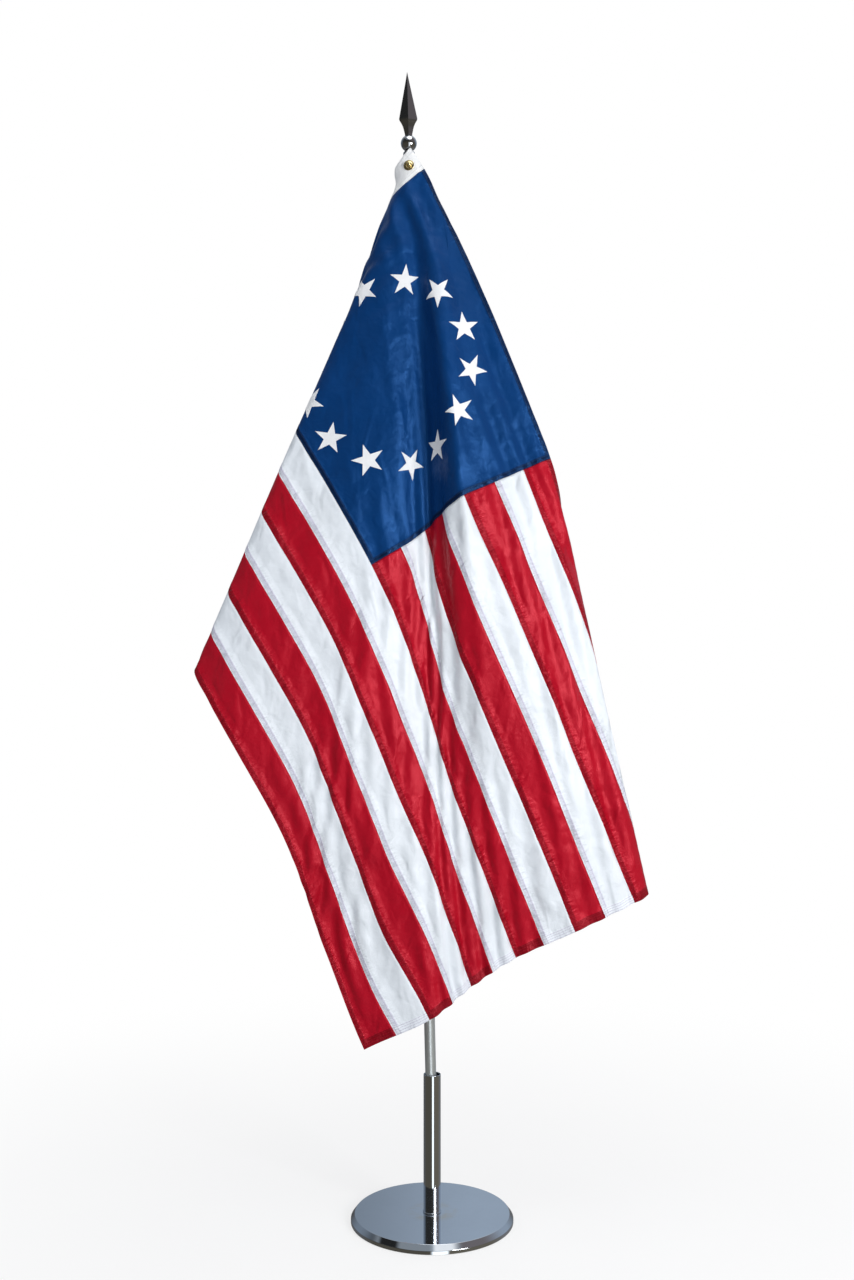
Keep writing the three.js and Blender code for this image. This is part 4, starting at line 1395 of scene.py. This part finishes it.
def floor():
    """A pale floor that fades into the white surroundings away from the stand."""
    paint = Paint("floor")
    grain = paint.step(paint.noise(3.0), 0.3, 0.7)
    paint.finish(Base_Color=paint.mix(grain, (0.86, 0.86, 0.87), (0.88, 0.88, 0.89)), Roughness=0.7)
    away = paint.node("VectorMath", {0: paint.place()}, "Value", operation="LENGTH")
    whiteness = paint.step(away, *FLOOR_FADE, FLOOR_WHITENESS, 1.0)
    glow = paint.node("Emission", {"Color": (1, 1, 1, 1), "Strength": WHITE_LIGHT})
    blend = paint.node("MixShader", {0: whiteness, 1: paint.surface.outputs[0], 2: glow})
    paint.put(paint.tree.nodes["Material Output"].inputs["Surface"], blend)
    half = FLOOR_SIZE / 2
    corners = [(-half, -half, 0), (half, -half, 0), (half, half, 0), (-half, half, 0)]
    piece = make_mesh("floor", corners, [(0, 1, 2, 3)], paint.material)
    piece.visible_glossy = False
    piece.visible_diffuse = False


def softbox(name, place, target, width, height, power, colour=(1, 1, 1), mirrored=True):
    """A flat lamp. Polished metal shows it only if it is mirrored."""
    light = bpy.data.lights.new(name, "AREA")
    light.shape = "RECTANGLE"
    light.size, light.size_y = width, height
    light.energy = power
    light.color = colour
    lamp = bpy.data.objects.new(name, light)
    lamp.location = place
    lamp.rotation_euler = (Vector(target) - Vector(place)).to_track_quat("-Z", "Y").to_euler()
    lamp.visible_glossy = mirrored
    bpy.context.scene.collection.objects.link(lamp)


def room_behind(room, height):
    return room.ramp(height, [
        (0.0, (0.3, 0.3, 0.3)),
        (0.45, (0.13, 0.13, 0.135)),
        (0.60, (0.30, 0.36, 0.44)),
        (0.78, (0.38, 0.45, 0.54)),
        (1.0, CEILING),
    ])


def room_in_front(room, x, y, z, height):
    walls = room.ramp(height, [
        (0.0, (0.15, 0.135, 0.11)),
        (0.42, (0.14, 0.125, 0.095)),
        (0.74, (0.045, 0.045, 0.045)),
        (0.88, (0.25, 0.25, 0.26)),
        (1.0, CEILING),
    ])
    # Lamps and dark gaps overhead, which the bevel and the finial show as bright and dark patches.
    across_top = room.step(room.math("DIVIDE", x, z), -2.0, 2.0, kind="LINEAR")
    lit, dim, lamp = (0.42, 0.46, 0.5), (0.03, 0.03, 0.03), (1.0, 1.0, 1.0)
    patches = room.ramp(across_top, [
        (0.0, lit), (0.14, lit), (0.17, dim), (0.28, dim), (0.31, lit), (0.50, lit), (0.52, lamp),
        (0.62, lamp), (0.66, lit), (0.69, dim), (0.84, dim), (0.88, lit), (1.0, lit),
    ])
    walls = room.mix(room.step(z, 0.5, 0.6), walls, patches)
    # A paler wall high on the right, which the spear's right-hand side shows.
    on_right = room.times(room.step(x, 0.35, 0.6), room.step(z, 0.12, 0.3))
    walls = room.mix(on_right, walls, PALE_WALL)
    # A bright strip of floor in front and a little to the right, which upright tubes show as a
    # narrow highlight.
    bearing = room.math("DIVIDE", x, y)
    strip = room.times(room.step(bearing, 0.06, -0.04), room.step(bearing, -0.46, -0.36))
    strip = room.times(strip, room.step(y, 0.0, -0.2, kind="LINEAR"))
    strip = room.times(strip, room.step(z, 0.0, -0.08, kind="LINEAR"))
    return room.mix(strip, walls, LIT_FLOOR)


def surroundings():
    """White to look at and a soft even light, with the darker room that polished metal reflects."""
    world = bpy.data.worlds.new("studio")
    bpy.context.scene.world = world
    world.use_nodes = True
    world.node_tree.nodes.clear()
    room = Nodes(world.node_tree)
    direction = room.node("TexCoord", {}, "Generated")
    x, y, z = (room.node("SeparateXYZ", {0: direction}, axis) for axis in range(3))
    height = room.step(z, -1.0, 1.0, kind="LINEAR")
    front = room_in_front(room, x, y, z, height)
    walls = room.mix(room.step(y, -0.1, 0.6), front, room_behind(room, height))
    strength = room.step(x, -0.07, 0.04, 0.72, 1.2)
    reflected = room.node("Background", {"Color": walls, "Strength": strength})
    seen = room.node("Background", {"Color": (1, 1, 1, 1), "Strength": WHITE_LIGHT})
    lighting = room.node("Background", {"Color": (0.93, 0.96, 1.0, 1), "Strength": EVEN_LIGHT})
    to_metal = room.node("LightPath", {}, "Is Glossy Ray")
    to_camera = room.node("LightPath", {}, "Is Camera Ray")
    unseen = room.node("MixShader", {0: to_metal, 1: lighting, 2: reflected})
    whole = room.node("MixShader", {0: to_camera, 1: unseen, 2: seen})
    output = room.tree.nodes.new("ShaderNodeOutputWorld")
    room.put(output.inputs["Surface"], whole)


def studio_camera():
    """Level, about halfway up the stand."""
    lens = bpy.data.cameras.new("camera")
    lens.lens = LENS
    camera = bpy.data.objects.new("camera", lens)
    camera.location = CAMERA_PLACE
    camera.rotation_euler = (math.radians(90), 0, 0)
    bpy.context.scene.collection.objects.link(camera)
    bpy.context.scene.camera = camera


floor()
surroundings()
studio_camera()
softbox("key", (1.95, -2.45, 1.45), (-0.05, 0, 1.25), 1.1, 1.25, 78)
softbox("fill", (-2.6, -1.6, 1.6), (-0.05, 0, 1.2), 1.2, 2.0, 12, (0.92, 0.95, 1.0), mirrored=False)
softbox("top", (0.2, -0.6, 3.9), (0, 0, 1.2), 1.6, 1.6, 20)
softbox("back_right", (1.4, 2.6, 1.4), (0, 0, 1.2), 1.0, 1.2, 16, mirrored=False)
softbox("back_left", (-1.4, 2.6, 1.4), (0, 0, 1.2), 1.0, 1.2, 14, mirrored=False)
bpy.context.scene.view_settings.view_transform = "Standard"
